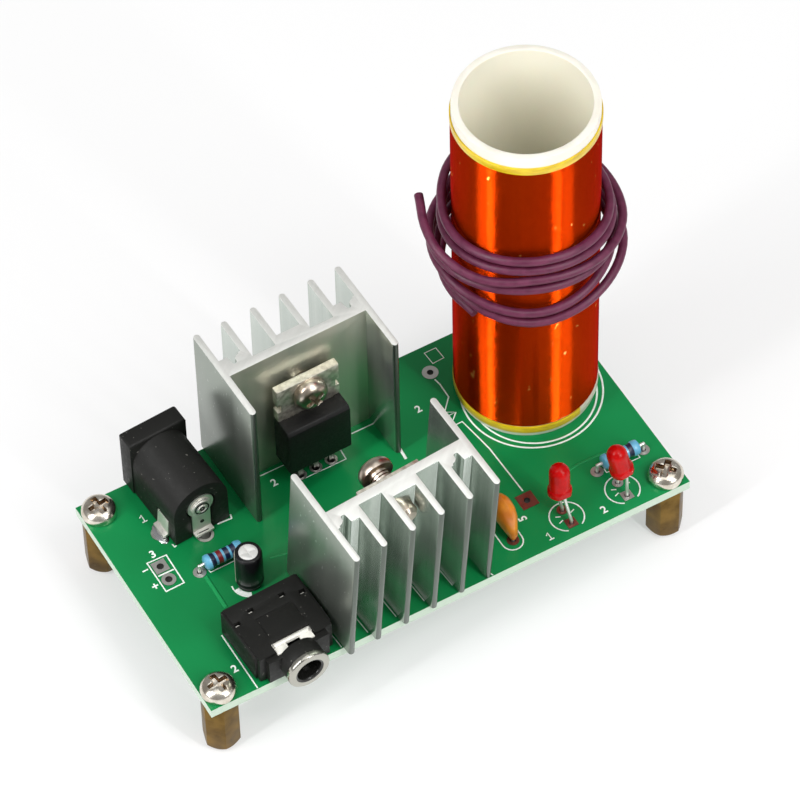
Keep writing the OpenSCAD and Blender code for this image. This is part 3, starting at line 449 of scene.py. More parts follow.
# Transistor boxes, and a line under each fin of the front sink
front_sink_x, front_sink_y, front_sink_turn = -5.7, -20.8, 4
turn_sine = math.sin(math.radians(front_sink_turn))
turn_cosine = math.cos(math.radians(front_sink_turn))
fin_half = 0.62
ink_line([(-13.55, 11.67), (-8.98, 11.64), (-8.83, 8.11), (-1.38, 8.1), (-1.26, 10.54)])
ink_line([(1.47, 11.61), (8.2, 11.57)])
ink_line([(6.16, 6.8), (5.95, 3.8)], 0.45)
ink_line([(-11.6, -8.0), (0.1, -7.9), (0.1, -12.0), (-11.6, -12.1)], closed=True)
for fin_x in (-11.4, -7.05, -2.35, 2.35, 7.05):
    ink_line([(front_sink_x + fin_x - fin_half - turn_sine * y,
               front_sink_y + turn_sine * fin_x + turn_cosine * y) for y in (1.8, 7.5)], 0.16)
ink_line([(5.63, -14.75), (5.94, -16.76), (5.77, -19.9)], 0.2)
ink_line([(6.05, -19.11), (6.36, -19.9)], 0.2)

# Numbers of the components
for figure, x, y, turn in (("3", -32.9, 7.34, 0), ("2", -32.35, -15.5, 0), ("2", -12.2, 9.6, 0),
                           ("2", 11.86, 10.54, 0), ("2", 25.5, -18.1, 0), ("5", 14.9, -13.6, 90)):
    ink_number(figure, x, y, turn=turn)
for x, y in ((-31.13, 13.55), (16.6, -18.1)):
    ink_one(x, y)
join_ink("printed_outlines", ink)

# Raised tracks
# Copper under the mask stands a hair above the bare laminate and looks paler,
# as tracks between the small parts.
track_mask = material("track_mask", (0.010, 0.30, 0.085), 0.3, Specular_IOR_Level=0.35)
bumped(track_mask, grain(track_mask, 1500, detail=3), 0.012, 0.2)
for points, width in (([(-28.33, 0.28), (-28.41, -5.78)], 0.7),
                      ([(-19.04, -1.56), (-16.2, -2.11)], 0.3),
                      ([(8.6, -7.4), (12.4, -7.9), (15.0, -10.6)], 0.5),
                      ([(21.6, -10.2), (26.5, -9.4), (33.0, -9.6)], 0.4)):
    ink_line(points, width)
join_ink("raised_tracks", track_mask)

# Plated holes and solder
# Copper pads joined through the board by a plated barrel, tinned by hot air.
# The pad in front of the coil is left as bare copper, and reddened by handling.


def along(made, way):
    """Distance of a point from the origin along a direction, in metres."""
    nodes, links = made.node_tree.nodes, made.node_tree.links
    place = nodes.new("ShaderNodeTexCoord")
    towards = nodes.new("ShaderNodeVectorMath")
    towards.operation = "DOT_PRODUCT"
    towards.inputs[1].default_value = way
    links.new(place.outputs["Object"], towards.inputs[0])
    return towards.outputs["Value"]


def band(made, way, low, high):
    """1 where a point lies between two distances along a direction, in millimetres, else 0."""
    return joined(made, "COMPARE", along(made, way), (low + high) / 2 * mm, (high - low) / 2 * mm)


tin = material("tinned_pad_and_barrel_shade", (0.72, 0.72, 0.69), 0.28, 1.0)
rough_range(tin, grain(tin, 1400), 0.34, 0.5)
bumped(tin, grain(tin, 2400), 0.02, 0.4)
bare_copper = joined(tin, "MULTIPLY", band(tin, (1, 0, 0), 9, 21.7), band(tin, (0, 1, 0), -20, -9))
# The barrels' walls, which do not face up, are painted near black and not metallic: painted shade inside the
# holes.
pad_face_not_barrel_shade = facing(tin, "Z", 0.5)
pad_colour = blend_colour(tin, bare_copper, (0.50, 0.50, 0.47), (0.27, 0.105, 0.08))
set_socket(tin, "Base Color", blend_colour(tin, pad_face_not_barrel_shade, (0.02, 0.016, 0.012), pad_colour))
set_socket(tin, "Metallic", joined(tin, "MULTIPLY", pad_face_not_barrel_shade, 0.85))
finish_with(nodes_of["plated_holes"], tin)
solder = material("solder_metal", (0.60, 0.61, 0.62), 0.22, 1.0)
bumped(solder, grain(solder, 1800), 0.03, 0.4)
finish_with(nodes_of["solder_joints"], solder)


def settle(name, made):
    """Bakes the place of the shape just added into its mesh, and makes it a piece of the board's body."""
    bpy.ops.object.transform_apply(location=True, rotation=True, scale=True)
    piece = bpy.context.object
    piece.name = name
    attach(piece, "root")
    finish_with(piece, made)


# Solder that has crept up through the side terminal's hole to the board's upper face
fillet_place = Vector((-30.3, 9.9, board_top)) * mm
fillet_half = Vector((0.95, 1.95, 0.32))
deselect()
bpy.ops.mesh.primitive_uv_sphere_add(segments=32, ring_count=16, radius=mm, location=fillet_place)
bpy.context.object.scale = fillet_half
bpy.ops.object.shade_smooth()
settle("side_terminal_fillet", solder)

# Pillars
# Hexagonal brass bar, drilled and tapped right through, its foot chamfered on
# the lathe. An antique bronze dip has turned it a dark brown.


# A worked copy is a solid from the frame, welded and given the small broken edges
# that moulding, sawing or tumbling leaves. It stands where its node stands.
def round_first(piece, radius, chosen):
    """Rounds those sharp edges whose two ends, in millimetres, pass a test."""
    bpy.ops.mesh.select_mode(type="EDGE")
    bpy.ops.mesh.select_all(action="DESELECT")
    bpy.ops.mesh.edges_select_sharp(sharpness=math.radians(50))
    bpy.ops.object.mode_set(mode="OBJECT")
    for edge in piece.data.edges:
        ends = [piece.data.vertices[k].co / mm for k in edge.vertices]
        edge.select = edge.select and chosen(*ends)
    picked = [edge.index for edge in piece.data.edges if edge.select]
    bpy.ops.object.mode_set(mode="EDIT")
    bpy.ops.mesh.select_all(action="DESELECT")
    bpy.ops.object.mode_set(mode="OBJECT")
    for index in picked:
        piece.data.edges[index].select = True
    bpy.ops.object.mode_set(mode="EDIT")
    bpy.ops.mesh.bevel(offset=radius * mm, segments=4, affect="EDGES")


def broken_edges(node, name, radius, sharp=28, tidy=0.4, rounded=None):
    """A welded copy of a node, which replaces it. Edges sharper than one angle in degrees are bevelled,
    and faces that meet at less than the other become one."""
    copy = nodes_of[node].copy()
    copy.data = nodes_of[node].data.copy()
    for key in list(copy.keys()):
        del copy[key]
    copy.parent = None
    copy.matrix_world = Matrix.Identity(4)
    copy.name = name
    bpy.context.scene.collection.objects.link(copy)
    take(copy)
    bpy.ops.object.mode_set(mode="EDIT")
    bpy.ops.mesh.select_all(action="SELECT")
    bpy.ops.mesh.remove_doubles(threshold=0.002 * mm)
    bpy.ops.mesh.dissolve_limited(angle_limit=math.radians(tidy))
    if copy.data.has_custom_normals:
        bpy.ops.mesh.customdata_custom_splitnormals_clear()
    if rounded:
        round_first(copy, *rounded)
    bpy.ops.object.mode_set(mode="OBJECT")
    edge = copy.modifiers.new("edges", "BEVEL")
    edge.width = radius * mm
    edge.segments = 2
    edge.limit_method = "ANGLE"
    edge.angle_limit = math.radians(sharp)
    edge.use_clamp_overlap = True
    edge.miter_outer = "MITER_ARC"
    bpy.ops.object.modifier_apply(modifier="edges")
    bpy.ops.object.shade_smooth_by_angle(angle=math.radians(34))
    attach(copy, "root")
    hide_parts(node)
    return copy


bronze = material("bronzed_brass", (0.15, 0.09, 0.025), 0.4, 0.8, Specular_IOR_Level=0.15)
wear_and_painted_shade = grain(bronze, 320, detail=6)
two_tone(bronze, wear_and_painted_shade, (0.092, 0.052, 0.012), (0.235, 0.140, 0.035), 0.36, 0.68)
rough_range(bronze, wear_and_painted_shade, 0.26, 0.48)
bumped(bronze, grain(bronze, 1200, (1, 1, 0.25)), 0.02, 0.4)
finish_with(broken_edges("pillars", "board_pillars", 0.12, sharp=20), bronze)

# Screws
# Cold-headed steel, rolled thread, nickel plated: four hold the board on its
# pillars, and one clamps each transistor's tab to its sink.
corner_x, corner_y = 36, 17.5

# The cross recess and the cone that widens it, and the M3 thread
recess_r = 1.75
recess_bottom = board_top + 1.6
driver_r, driver_h, driver_lift = 1.5, 1.9, 0.78
thread_r, thread_ridge, thread_pitch = 1.47, 0.2, 0.5


def from_axis(made, centre, keep, mirrored=False):
    """Distance from an axis, in metres. Keep is 0 for the coordinate that runs along it, and mirrored
    counts the same axis in all four corners of the board."""
    nodes, links = made.node_tree.nodes, made.node_tree.links
    here = nodes.new("ShaderNodeTexCoord").outputs["Object"]
    for operation, values in (("ABSOLUTE", None), ("MULTIPLY", keep), ("DISTANCE", centre)):
        if operation == "ABSOLUTE" and not mirrored:
            continue
        step = nodes.new("ShaderNodeVectorMath")
        step.operation = operation
        links.new(here, step.inputs[0])
        if values:
            step.inputs[1].default_value = values
        here = step.outputs["Value" if operation == "DISTANCE" else "Vector"]
    return here


nickel = material("nickel_plate_and_recess_shade", (0.74, 0.68, 0.58), 0.2, 1.0)
rubbed = grain(nickel, 700, detail=5)
plated = two_tone(nickel, rubbed, (0.60, 0.53, 0.43), (0.84, 0.80, 0.71), 0.35, 0.65)
rough_range(nickel, rubbed, 0.14, 0.3)
corner_axis = (corner_x * mm, corner_y * mm, 0)
near_axis = joined(nickel, "LESS_THAN", from_axis(nickel, corner_axis, (1, 1, 0), True), recess_r * mm)
# Faces inside the cross recess that do not face up are painted dark brown: painted shade in the recess.
recess_painted_shade = joined(nickel, "MULTIPLY", near_axis, joined(nickel, "SUBTRACT", 1, facing(nickel, "Z", 0.86)))
set_socket(nickel, "Base Color", blend_colour(nickel, recess_painted_shade, plated, (0.34, 0.24, 0.15)))
brown_nickel = material("brown_nickel", (0.52, 0.45, 0.38), 0.28, 1.0)
two_tone(brown_nickel, grain(brown_nickel, 800, detail=5), (0.42, 0.34, 0.27), (0.62, 0.56, 0.48), 0.35, 0.65)


def deepened(heads, places):
    """Widens the middle of each cross recess with a cone, as the driver's tip does."""
    for place in places:
        deselect()
        bpy.ops.mesh.primitive_cone_add(vertices=32, radius1=0, radius2=driver_r * mm, depth=driver_h * mm)
        cone = bpy.context.object
        cone.data.transform(Matrix.Translation(place + Vector((0, 0, driver_lift)) * mm))
        take(heads)
        cut = heads.modifiers.new("cut", "BOOLEAN")
        cut.operation = "DIFFERENCE"
        cut.solver = "EXACT"
        cut.object = cone
        bpy.ops.object.modifier_apply(modifier="cut")
        take(cone)
        bpy.ops.object.delete()


for node, name in (("corner_screws", "board_screws"), ("rear_sink_screw", "rear_clamp_screw"),
                   ("front_sink_screw", "front_clamp_screw")):
    heads = broken_edges(node, name, 0.09)
    finish_with(heads, nickel if node == "corner_screws" else brown_nickel)
    if node == "corner_screws":
        deepened(heads, [Vector((x, y, recess_bottom)) * mm
                         for x in (-corner_x, corner_x) for y in (-corner_y, corner_y)])
thread_steel = material("thread_steel", (0.50, 0.40, 0.30), 0.24, 1.0)
two_tone(thread_steel, grain(thread_steel, 1500), (0.24, 0.17, 0.12), (0.50, 0.40, 0.30))


def rolled_thread(name, place, start, end):
    """Ridges of an M3 thread round a screw's bare shank, between two places on its axis."""
    deselect()
    bpy.ops.mesh.primitive_circle_add(vertices=3, radius=thread_ridge * mm, rotation=(math.radians(90), 0, 0))
    ridge = bpy.context.object
    ridge.name = name
    bpy.ops.object.transform_apply(location=True, rotation=True, scale=True)
    ridge.data.transform(Matrix.Translation((thread_r * mm, 0, start * mm))
                         @ Matrix.Rotation(math.radians(90), 4, "Y"))
    wound = ridge.modifiers.new("wound", "SCREW")
    wound.steps = wound.render_steps = 32
    wound.iterations = math.floor((end - start) / thread_pitch)
    wound.screw_offset = thread_pitch * mm
    take(ridge)
    bpy.ops.object.modifier_apply(modifier="wound")
    bpy.ops.object.mode_set(mode="EDIT")
    bpy.ops.mesh.select_all(action="SELECT")
    bpy.ops.mesh.normals_make_consistent(inside=False)
    bpy.ops.object.mode_set(mode="OBJECT")
    ridge.data.transform(place)
    bpy.ops.object.shade_smooth_by_angle(angle=math.radians(50))
    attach(ridge, "root")
    finish_with(ridge, thread_steel)


def sink_frame(x, y, turn, lean):
    """Where a sink stands: its Y runs from the fins' ends to the transistor's side."""
    return (Matrix.Translation((x * mm, y * mm, board_top * mm)) @ Matrix.Rotation(math.radians(turn), 4, "Z")
            @ Matrix.Rotation(math.radians(lean), 4, "X"))


rear_sink = sink_frame(-6.1, 21.2, 181.4, 0)
front_sink = sink_frame(front_sink_x, front_sink_y, front_sink_turn, 5.6)
for name, sink, up, start, end in (("rear_gap_thread", rear_sink, 16.7, 8.95, 9.7),
                                   ("front_gap_thread", front_sink, 20.4, 10.35, 12.0)):
    screw_axis = sink @ Matrix.Translation((0, 0, up * mm)) @ Matrix.Rotation(math.radians(-90), 4, "X")
    rolled_thread(name, screw_axis, start, end)

# Heat sinks
# Extruded aluminium, sawn to 25 mm. The die leaves fine lines along the fins,
# the saw a brighter, cross-hatched face at each end.

# From the sink's middle to its left wall, and from the fins' ends to the web
left_wall_at, web_at = 11.75, 8


def extruded_metal(name, sink, seen_end, tip_from):
    """Aluminium with die lines along one sink's own upright and paler sawn ends. The walls' greenish grey is
    painted reflection of the green board; the left wall is painted darker with pale flecks, and the tips
    dark, as painted shade. Seen_end is 1 where the fins face the camera, and -1 where the transistor's side
    does."""
    made = material(name, (0.55, 0.56, 0.54), 0.3, 1.0)
    turn = sink.to_euler()
    line = grain(made, 900, (1, 1, 60), turn, 5)
    # The walls' greenish grey is painted reflection of the green board.
    drawn = two_tone(made, line, (0.50, 0.56, 0.51), (0.63, 0.68, 0.63), 0.3, 0.7)
    across, deep = sink.col[0].xyz, sink.col[1].xyz
    # Painted shade: the left wall is darker, with pale flecks.
    left_wall = joined(made, "LESS_THAN", joined(made, "MULTIPLY", along(made, across), seen_end),
                       sink.translation.dot(across) * seen_end - left_wall_at * mm)
    # Painted shade: the fins' tips are dark.
    tips_painted_shade = joined(made, "GREATER_THAN", joined(made, "MULTIPLY", along(made, deep), -seen_end),
                  (sink.translation.dot(deep) + tip_from * mm) * -seen_end)
    sawn = facing(made, "Z", 0.9)
    scratch = grain(made, 1500, (6, 1, 1), (0, 0, turn.z + math.radians(35)), 4)
    pale = blend_colour(made, scratch, (0.68, 0.69, 0.65), (0.84, 0.845, 0.81))
    flecks = joined(made, "GREATER_THAN", grain(made, 2300, (1, 1, 2.5), turn, 3), 0.69)
    wear_and_painted_shade = blend_colour(made, flecks, (0.27, 0.30, 0.26), (0.60, 0.62, 0.59))
    behind = joined(made, "GREATER_THAN", along(made, deep), sink.translation.dot(deep) + web_at * mm)
    web = joined(made, "MULTIPLY", facing(made, "Y", 0.8), behind)
    warm = blend_colour(made, grain(made, 240, (1, 1, 12), turn, 5), (0.40, 0.48, 0.41), (0.84, 0.78, 0.66))
    walls = blend_colour(made, web, drawn, warm)
    walls = blend_colour(made, joined(made, "MULTIPLY", left_wall, 0.85), walls, wear_and_painted_shade)
    walls = blend_colour(made, tips_painted_shade, walls, (0.13, 0.15, 0.13))
    set_socket(made, "Base Color", blend_colour(made, sawn, walls, pale))
    set_socket(made, "Metallic", joined(made, "SUBTRACT", 0.88, joined(made, "MULTIPLY", sawn, 0.4)))
    smooth = joined(made, "ADD", joined(made, "MULTIPLY", line, 0.12), joined(made, "MULTIPLY", web, 0.2))
    smooth = joined(made, "ADD", smooth, joined(made, "ADD", 0.17, joined(made, "MULTIPLY", left_wall, 0.1)))
    set_socket(made, "Roughness", joined(made, "MAXIMUM", smooth, joined(made, "MULTIPLY", sawn, 0.5)))
    bumped(made, line, 0.03, 0.22)
    return made


for side, sink, seen_end, tip_from in (("rear", rear_sink, -1, 16.0), ("front", front_sink, 1, 0.3)):
    finish_with(broken_edges(side + "_heat_sink", side + "_sink_extrusion", 0.06),
                extruded_metal(side + "_sink_metal", sink, seen_end, tip_from))

# Transistors
# Black epoxy moulded round a tinned copper tab and three leads. The faces are
# finely eroded by the mould, and carry no print.
epoxy = material("black_epoxy", (0.009, 0.009, 0.009), 0.5, Specular_IOR_Level=0.28)
eroded = grain(epoxy, 3000, detail=3)
rough_range(epoxy, eroded, 0.44, 0.6)
bumped(epoxy, eroded, 0.03, 0.5)
tab_metal = material("tab_metal", (0.78, 0.74, 0.64), 0.38, 0.8)
worn_tab = grain(tab_metal, 1300, detail=6)
two_tone(tab_metal, worn_tab, (0.46, 0.43, 0.36), (0.74, 0.71, 0.62), 0.36, 0.62)
rough_range(tab_metal, worn_tab, 0.28, 0.5)
bumped(tab_metal, worn_tab, 0.03, 0.4)
lead_metal = material("lead_metal", (0.30, 0.30, 0.28), 0.34, 1.0)
rough_range(lead_metal, grain(lead_metal, 1400), 0.26, 0.44)
for side in ("rear", "front"):
    case = broken_edges(side + "_transistor_body", side + "_transistor_case", 0.14)
    finish_with(case, epoxy)
    plate = broken_edges(side + "_transistor_tab", side + "_transistor_plate", 0.08)
    finish_with(plate, tab_metal)
    finish_with(nodes_of[side + "_transistor_leads"], lead_metal)

# Power jack
# Black moulded housing, open at its mouth, with a turned centre pin riveted in
# from behind and three sheet metal terminals through the board. A few pale
# specks of dust cling to it.
black_plastic = material("black_moulding", (0.011, 0.011, 0.010), 0.45, Specular_IOR_Level=0.22)
moulded = grain(black_plastic, 1600, detail=4)
rough_range(black_plastic, moulded, 0.4, 0.56)
two_tone(black_plastic, grain(black_plastic, 1700, detail=2), (0.011, 0.011, 0.010), (0.16, 0.155, 0.14),
         0.715, 0.75)
bumped(black_plastic, moulded, 0.02, 0.4)

# Where the flange's edges lie, and the length from which one is rounded
mouth_y, flange_back_y = 20.7, 17.7
flange_top, flange_low = 22.5, 14
long_edge = 2.6


def on_flange(a, b):
    """Long edges of the flange: those of its mouth, of its corners and along its top."""
    outer = min(a.y, b.y) > mouth_y or (max(a.y, b.y) > mouth_y and min(a.y, b.y) > flange_back_y)
    on_top = min(a.z, b.z) > flange_top
    return (a - b).length > long_edge and (outer or on_top) and max(a.z, b.z) > flange_low


power_jack_case = broken_edges("power_jack_housing", "power_jack_case", 0.06, rounded=(0.4, on_flange))
finish_with(power_jack_case, black_plastic)
sheet_tin = material("tinned_sheet", (0.74, 0.73, 0.67), 0.3, 0.7)
rough_range(sheet_tin, grain(sheet_tin, 900, (1, 1, 6)), 0.24, 0.42)
for node in ("power_jack_centre_pin", "power_jack_rear_terminal", "power_jack_side_terminal",
             "power_jack_spring_foot"):
    finish_with(broken_edges(node, node + "_metal", 0.05), sheet_tin)
pin_box = [Vector(nodes_of["power_jack_centre_pin"].bound_box[k]) for k in (0, 6)]
pin_axis = (pin_box[0] + pin_box[1]) / 2
pin_end = pin_box[0].y
quarter_turn = (math.radians(90), 0, 0)

# The riveted end of the pin: a rolled rim, a groove, and an eye with a dimple. The groove and the dimple
# are black rings of painted shade
for name, reach, thick, deep, made in (("rivet_rim", 1.3, 0.14, 0.2475, sheet_tin),
                                       ("rivet_groove_shade", 1.02, 0.1, 0.0935, black_plastic),
                                       ("rivet_eye", 0.6, 0.13, 0.022, sheet_tin),
                                       ("rivet_dimple_shade", 0.3, 0.09, 0.022, black_plastic)):
    deselect()
    bpy.ops.mesh.primitive_torus_add(major_radius=reach * mm, minor_radius=thick * mm, major_segments=48,
                                     minor_segments=12, rotation=quarter_turn,
                                     location=(pin_axis.x, pin_end + deep * mm, pin_axis.z))
    bpy.ops.object.shade_smooth()
    settle(name, made)

# The hole in the rear terminal and the slit near its foot, as black shapes of painted shade, their depths
# counted from the pin's end
hole_r, hole_below_pin, hole_depth = 0.32, 3.3, 0.37
slit_size, slit_up, slit_depth = Vector((1.6, 0.12, 0.14)), 0.81, 0.1
deselect()
bpy.ops.mesh.primitive_cylinder_add(
    vertices=24, radius=hole_r * mm, depth=0.06 * mm, rotation=quarter_turn,
    location=(pin_axis.x, pin_end + hole_depth * mm, pin_axis.z - hole_below_pin * mm))
settle("terminal_hole_shade", black_plastic)
deselect()
bpy.ops.mesh.primitive_cube_add(size=1, location=(
    pin_axis.x, pin_end + slit_depth * mm, (board_top + slit_up) * mm))
bpy.context.object.scale = slit_size * mm
settle("terminal_slit_shade", black_plastic)
spring_metal = material("spring_brass", (0.72, 0.55, 0.26), 0.26, 1.0)
rough_range(spring_metal, grain(spring_metal, 900), 0.2, 0.36)
finish_with(nodes_of["power_jack_spring"], spring_metal)

# Audio jack
# Moulded housing with a nickel bushing in its nose. Contacts stand in slots of
# the top, and a folded sleeve contact shows in the window.
audio_jack_case = broken_edges("audio_jack_housing", "audio_jack_case", 0.04, tidy=0.01)
finish_with(audio_jack_case, black_plastic)
bushing_box = [Vector(nodes_of["audio_jack_bushing"].bound_box[k]) for k in (0, 6)]
socket_axis = (bushing_box[0] + bushing_box[1]) / 2
bore_r = 2.2
bright_nickel = material("bushing_nickel_and_bore_shade", (0.74, 0.71, 0.65), 0.16, 1.0)
rough_range(bright_nickel, grain(bright_nickel, 800), 0.14, 0.28)
# Inside the bore's radius the nose is painted near black and not metallic: painted shade in the socket.
nose_axis = (socket_axis.x, 0, socket_axis.z)
ring = joined(bright_nickel, "GREATER_THAN", from_axis(bright_nickel, nose_axis, (1, 0, 1)), bore_r * mm)
set_socket(bright_nickel, "Metallic", ring)
socket_bore_shade, plated_rim = (0.012, 0.012, 0.011), (0.47, 0.46, 0.41)
set_socket(bright_nickel, "Base Color", blend_colour(bright_nickel, ring, socket_bore_shade, plated_rim))
finish_with(broken_edges("audio_jack_bushing", "audio_jack_nose", 0.1), bright_nickel)
contact_tin = material("contact_tin", (0.88, 0.86, 0.79), 0.42, 0.15)
rough_range(contact_tin, grain(contact_tin, 1100), 0.34, 0.5)
finish_with(broken_edges("audio_jack_terminals", "contact_ends", 0.04), contact_tin)
finish_with(broken_edges("audio_jack_sleeve_contact", "folded_contact", 0.04), contact_tin)
finish_with(nodes_of["audio_jack_tip_spring"], spring_metal)

# Coil tube
# White rigid PVC pipe, sawn and faced at both ends, glued upright on the board.
# Its bore is painted a yellower white, as painted shade inside the tube.
bore_limit = 9.6
pvc = material("white_pvc", (0.80, 0.775, 0.70), 0.35, Subsurface_Weight=0.08, Subsurface_Scale=0.001)
pvc_tone = two_tone(pvc, grain(pvc, 260), (0.80, 0.77, 0.67), (0.86, 0.835, 0.75), 0.3, 0.7)
tube_axis = (coil_centre[0] * mm, coil_centre[1] * mm, 0)
inside = joined(pvc, "LESS_THAN", from_axis(pvc, tube_axis, (1, 1, 0)), bore_limit * mm)
# Painted shade: faces inside the bore that do not face up take a yellower white.
tube_bore_shade = joined(pvc, "MULTIPLY", inside, joined(pvc, "SUBTRACT", 1, facing(pvc, "Z", 0.5)))
set_socket(pvc, "Base Color", blend_colour(pvc, tube_bore_shade, pvc_tone, (0.84, 0.81, 0.68)))
bumped(pvc, grain(pvc, 900, (1, 1, 8)), 0.02, 0.3)
finish_with(broken_edges("coil_tube", "coil_former", 0.15), pvc)

# Secondary winding
# One close layer of fine enamelled copper wire, some 280 turns laid by machine
# on the turning tube, and sealed with a clear amber varnish.
turn_pitch = 0.2
winding_low, winding_high = 2.2, 58.3
wire_centre_r, kept_from_r = 10.25, 10.24
turns = round((winding_high - winding_low) / turn_pitch)
deselect()
bpy.ops.mesh.primitive_circle_add(vertices=8, radius=turn_pitch / 2 * mm, rotation=(math.radians(90), 0, 0))
fine_winding = bpy.context.object
fine_winding.name = "fine_winding"
bpy.ops.object.transform_apply(location=True, rotation=True, scale=True)
bpy.ops.object.mode_set(mode="EDIT")
bpy.ops.mesh.select_all(action="SELECT")
bpy.ops.transform.translate(value=(wire_centre_r * mm, 0, (winding_low + turn_pitch / 2) * mm))
bpy.ops.mesh.select_all(action="DESELECT")
bpy.ops.object.mode_set(mode="OBJECT")
for vertex in fine_winding.data.vertices:
    vertex.select = vertex.co.x < kept_from_r * mm
bpy.ops.object.mode_set(mode="EDIT")
bpy.ops.mesh.delete(type="VERT")
bpy.ops.object.mode_set(mode="OBJECT")
wound = fine_winding.modifiers.new("wound", "SCREW")
wound.steps = wound.render_steps = 64
wound.iterations = turns - 1
wound.screw_offset = turn_pitch * mm
wound.use_merge_vertices = True
wound.merge_threshold = 0.001 * mm
take(fine_winding)
bpy.ops.object.modifier_apply(modifier="wound")
bpy.ops.object.mode_set(mode="EDIT")
bpy.ops.mesh.select_all(action="SELECT")
bpy.ops.mesh.normals_make_consistent(inside=False)
bpy.ops.object.mode_set(mode="OBJECT")
fine_winding.data.transform(Matrix.Translation(Vector((*coil_centre, board_top)) * mm))
bpy.ops.object.shade_smooth_by_angle(angle=math.radians(60))
enamel = material("amber_enamel", (0.50, 0.05, 0.001), 0.2, 0.95, Specular_Tint=(0.6, 0.2, 0.04, 1))
streak = grain(enamel, 60, (1, 1, 3), detail=6)
amber = two_tone(enamel, streak, (0.42, 0.024, 0.0006), (0.54, 0.046, 0.0012), 0.3, 0.7)
specks = joined(enamel, "GREATER_THAN", grain(enamel, 900, (1, 1, 2), (0.4, 0.3, 0), 2), 0.725)
set_socket(enamel, "Base Color", blend_colour(enamel, specks, amber, (0.85, 0.36, 0.10)))
bumped(enamel, grain(enamel, 700, (1, 1, 2), (0.4, 0.3, 0), 3), 0.05, 0.3)
rough_range(enamel, grain(enamel, 500, (1, 1, 0.2)), 0.1, 0.17)
finish_with(fine_winding, enamel)
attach(fine_winding, "root")
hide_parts("secondary_winding")

# Tape bands
# Yellow polyester film tape, two turns at each end of the winding, which keep
# the fine wire's ends down. The lower one has lost its end, and bares its glue.
tape = material("yellow_film", (0.66, 0.43, 0.012), 0.3, Coat_Weight=0.2, Coat_Roughness=0.1)
film = two_tone(tape, grain(tape, 420, (1, 1, 0.3)), (0.62, 0.41, 0.003), (0.82, 0.60, 0.008), 0.35, 0.65)
low_on_right = joined(tape, "MULTIPLY", band(tape, (1, 0, 0), 31, 40), band(tape, (0, 0, 1), 11, 20))
bare = joined(tape, "MULTIPLY", low_on_right, band(tape, (0, 1, 0), -10, 5))
set_socket(tape, "Base Color", blend_colour(tape, bare, film, (0.66, 0.63, 0.52)))
bumped(tape, grain(tape, 700, (1, 1, 0.4)), 0.03, 0.4)
for node in ("lower_tape", "upper_tape"):
    finish_with(broken_edges(node, node + "_film", 0.05), tape)

# Resistors
# Metal film on a ceramic rod, dipped in blue lacquer, with four rings of paint
# that a wheel lays on as the rod turns.
rod_half, ring_half = 3, 0.36


def ringed(made, centre_x, rings, lacquer):
    """Rings of colour at distances along X from the resistor's middle, in millimetres."""
    ramp = made.node_tree.nodes.new("ShaderNodeValToRGB")
    ramp.color_ramp.interpolation = "CONSTANT"
    for at, colour in rings:
        for edge, paint in ((at - ring_half, colour), (at + ring_half, lacquer)):
            stop = ramp.color_ramp.elements.new((edge + rod_half) / (2 * rod_half))
            stop.color = (*paint, 1)
    for end in (0, len(ramp.color_ramp.elements) - 1):
        ramp.color_ramp.elements[end].color = (*lacquer, 1)
    share = ranged(made, along(made, (1, 0, 0)), (centre_x - rod_half) * mm, (centre_x + rod_half) * mm, 0, 1)
    made.node_tree.links.new(share, ramp.inputs["Fac"])
    set_socket(made, "Base Color", ramp.outputs["Color"])


bright_tin = material("bright_tin", (0.80, 0.80, 0.77), 0.3, 0.85)
rough_range(bright_tin, grain(bright_tin, 1400), 0.24, 0.4)
lacquer_blue = (0.13, 0.43, 0.64)
navy, red = (0.010, 0.016, 0.050), (0.20, 0.012, 0.018)
for number, centre_x in ((1, -24.9), (2, 31.9)):
    made = material(f"resistor_{number}_lacquer", lacquer_blue, 0.3, Coat_Weight=0.4, Coat_Roughness=0.15)
    ringed(made, centre_x, [(-1.8, navy), (-0.72, red), (0.36, navy), (1.4, navy)], lacquer_blue)
    bumped(made, grain(made, 1500), 0.03, 0.35)
    rod = broken_edges(f"resistor_{number}_body", f"resistor_{number}_rod", 0.03)
    finish_with(rod, made)
    finish_with(nodes_of[f"resistor_{number}_leads"], bright_tin)

# Upright capacitor
# Drawn aluminium can with a scored vent, in a shrunk black sleeve whose pale
# stripe marks one lead, closed by a rubber bung.
can_metal = material("drawn_aluminium", (0.87, 0.87, 0.85), 0.5, 0.45)
rough_range(can_metal, grain(can_metal, 1500), 0.46, 0.58)
finish_with(broken_edges("upright_capacitor_can", "capacitor_can", 0.04), can_metal)
shrunk = material("black_sleeve", (0.007, 0.007, 0.008), 0.26, Specular_IOR_Level=0.3)
stripe_turn, stripe_reach = math.radians(150), 1.85
stripe_way = Vector((math.cos(stripe_turn), math.sin(stripe_turn), 0))
stripe_from = (Vector((can_x, can_y, 0)).dot(stripe_way) + stripe_reach) * mm
stripe = joined(shrunk, "GREATER_THAN", along(shrunk, stripe_way), stripe_from)
two_tone(shrunk, stripe, (0.007, 0.007, 0.008), (0.42, 0.40, 0.34), 0.4, 0.6)
bumped(shrunk, grain(shrunk, 1500), 0.02, 0.3)
finish_with(broken_edges("upright_capacitor_sleeve", "capacitor_sleeve", 0.05), shrunk)
bung = material("bung_rubber", (0.02, 0.02, 0.02), 0.75)
bumped(bung, grain(bung, 2500), 0.02, 0.5)
finish_with(nodes_of["upright_capacitor_bung"], bung)
finish_with(nodes_of["upright_capacitor_leads"], bright_tin)

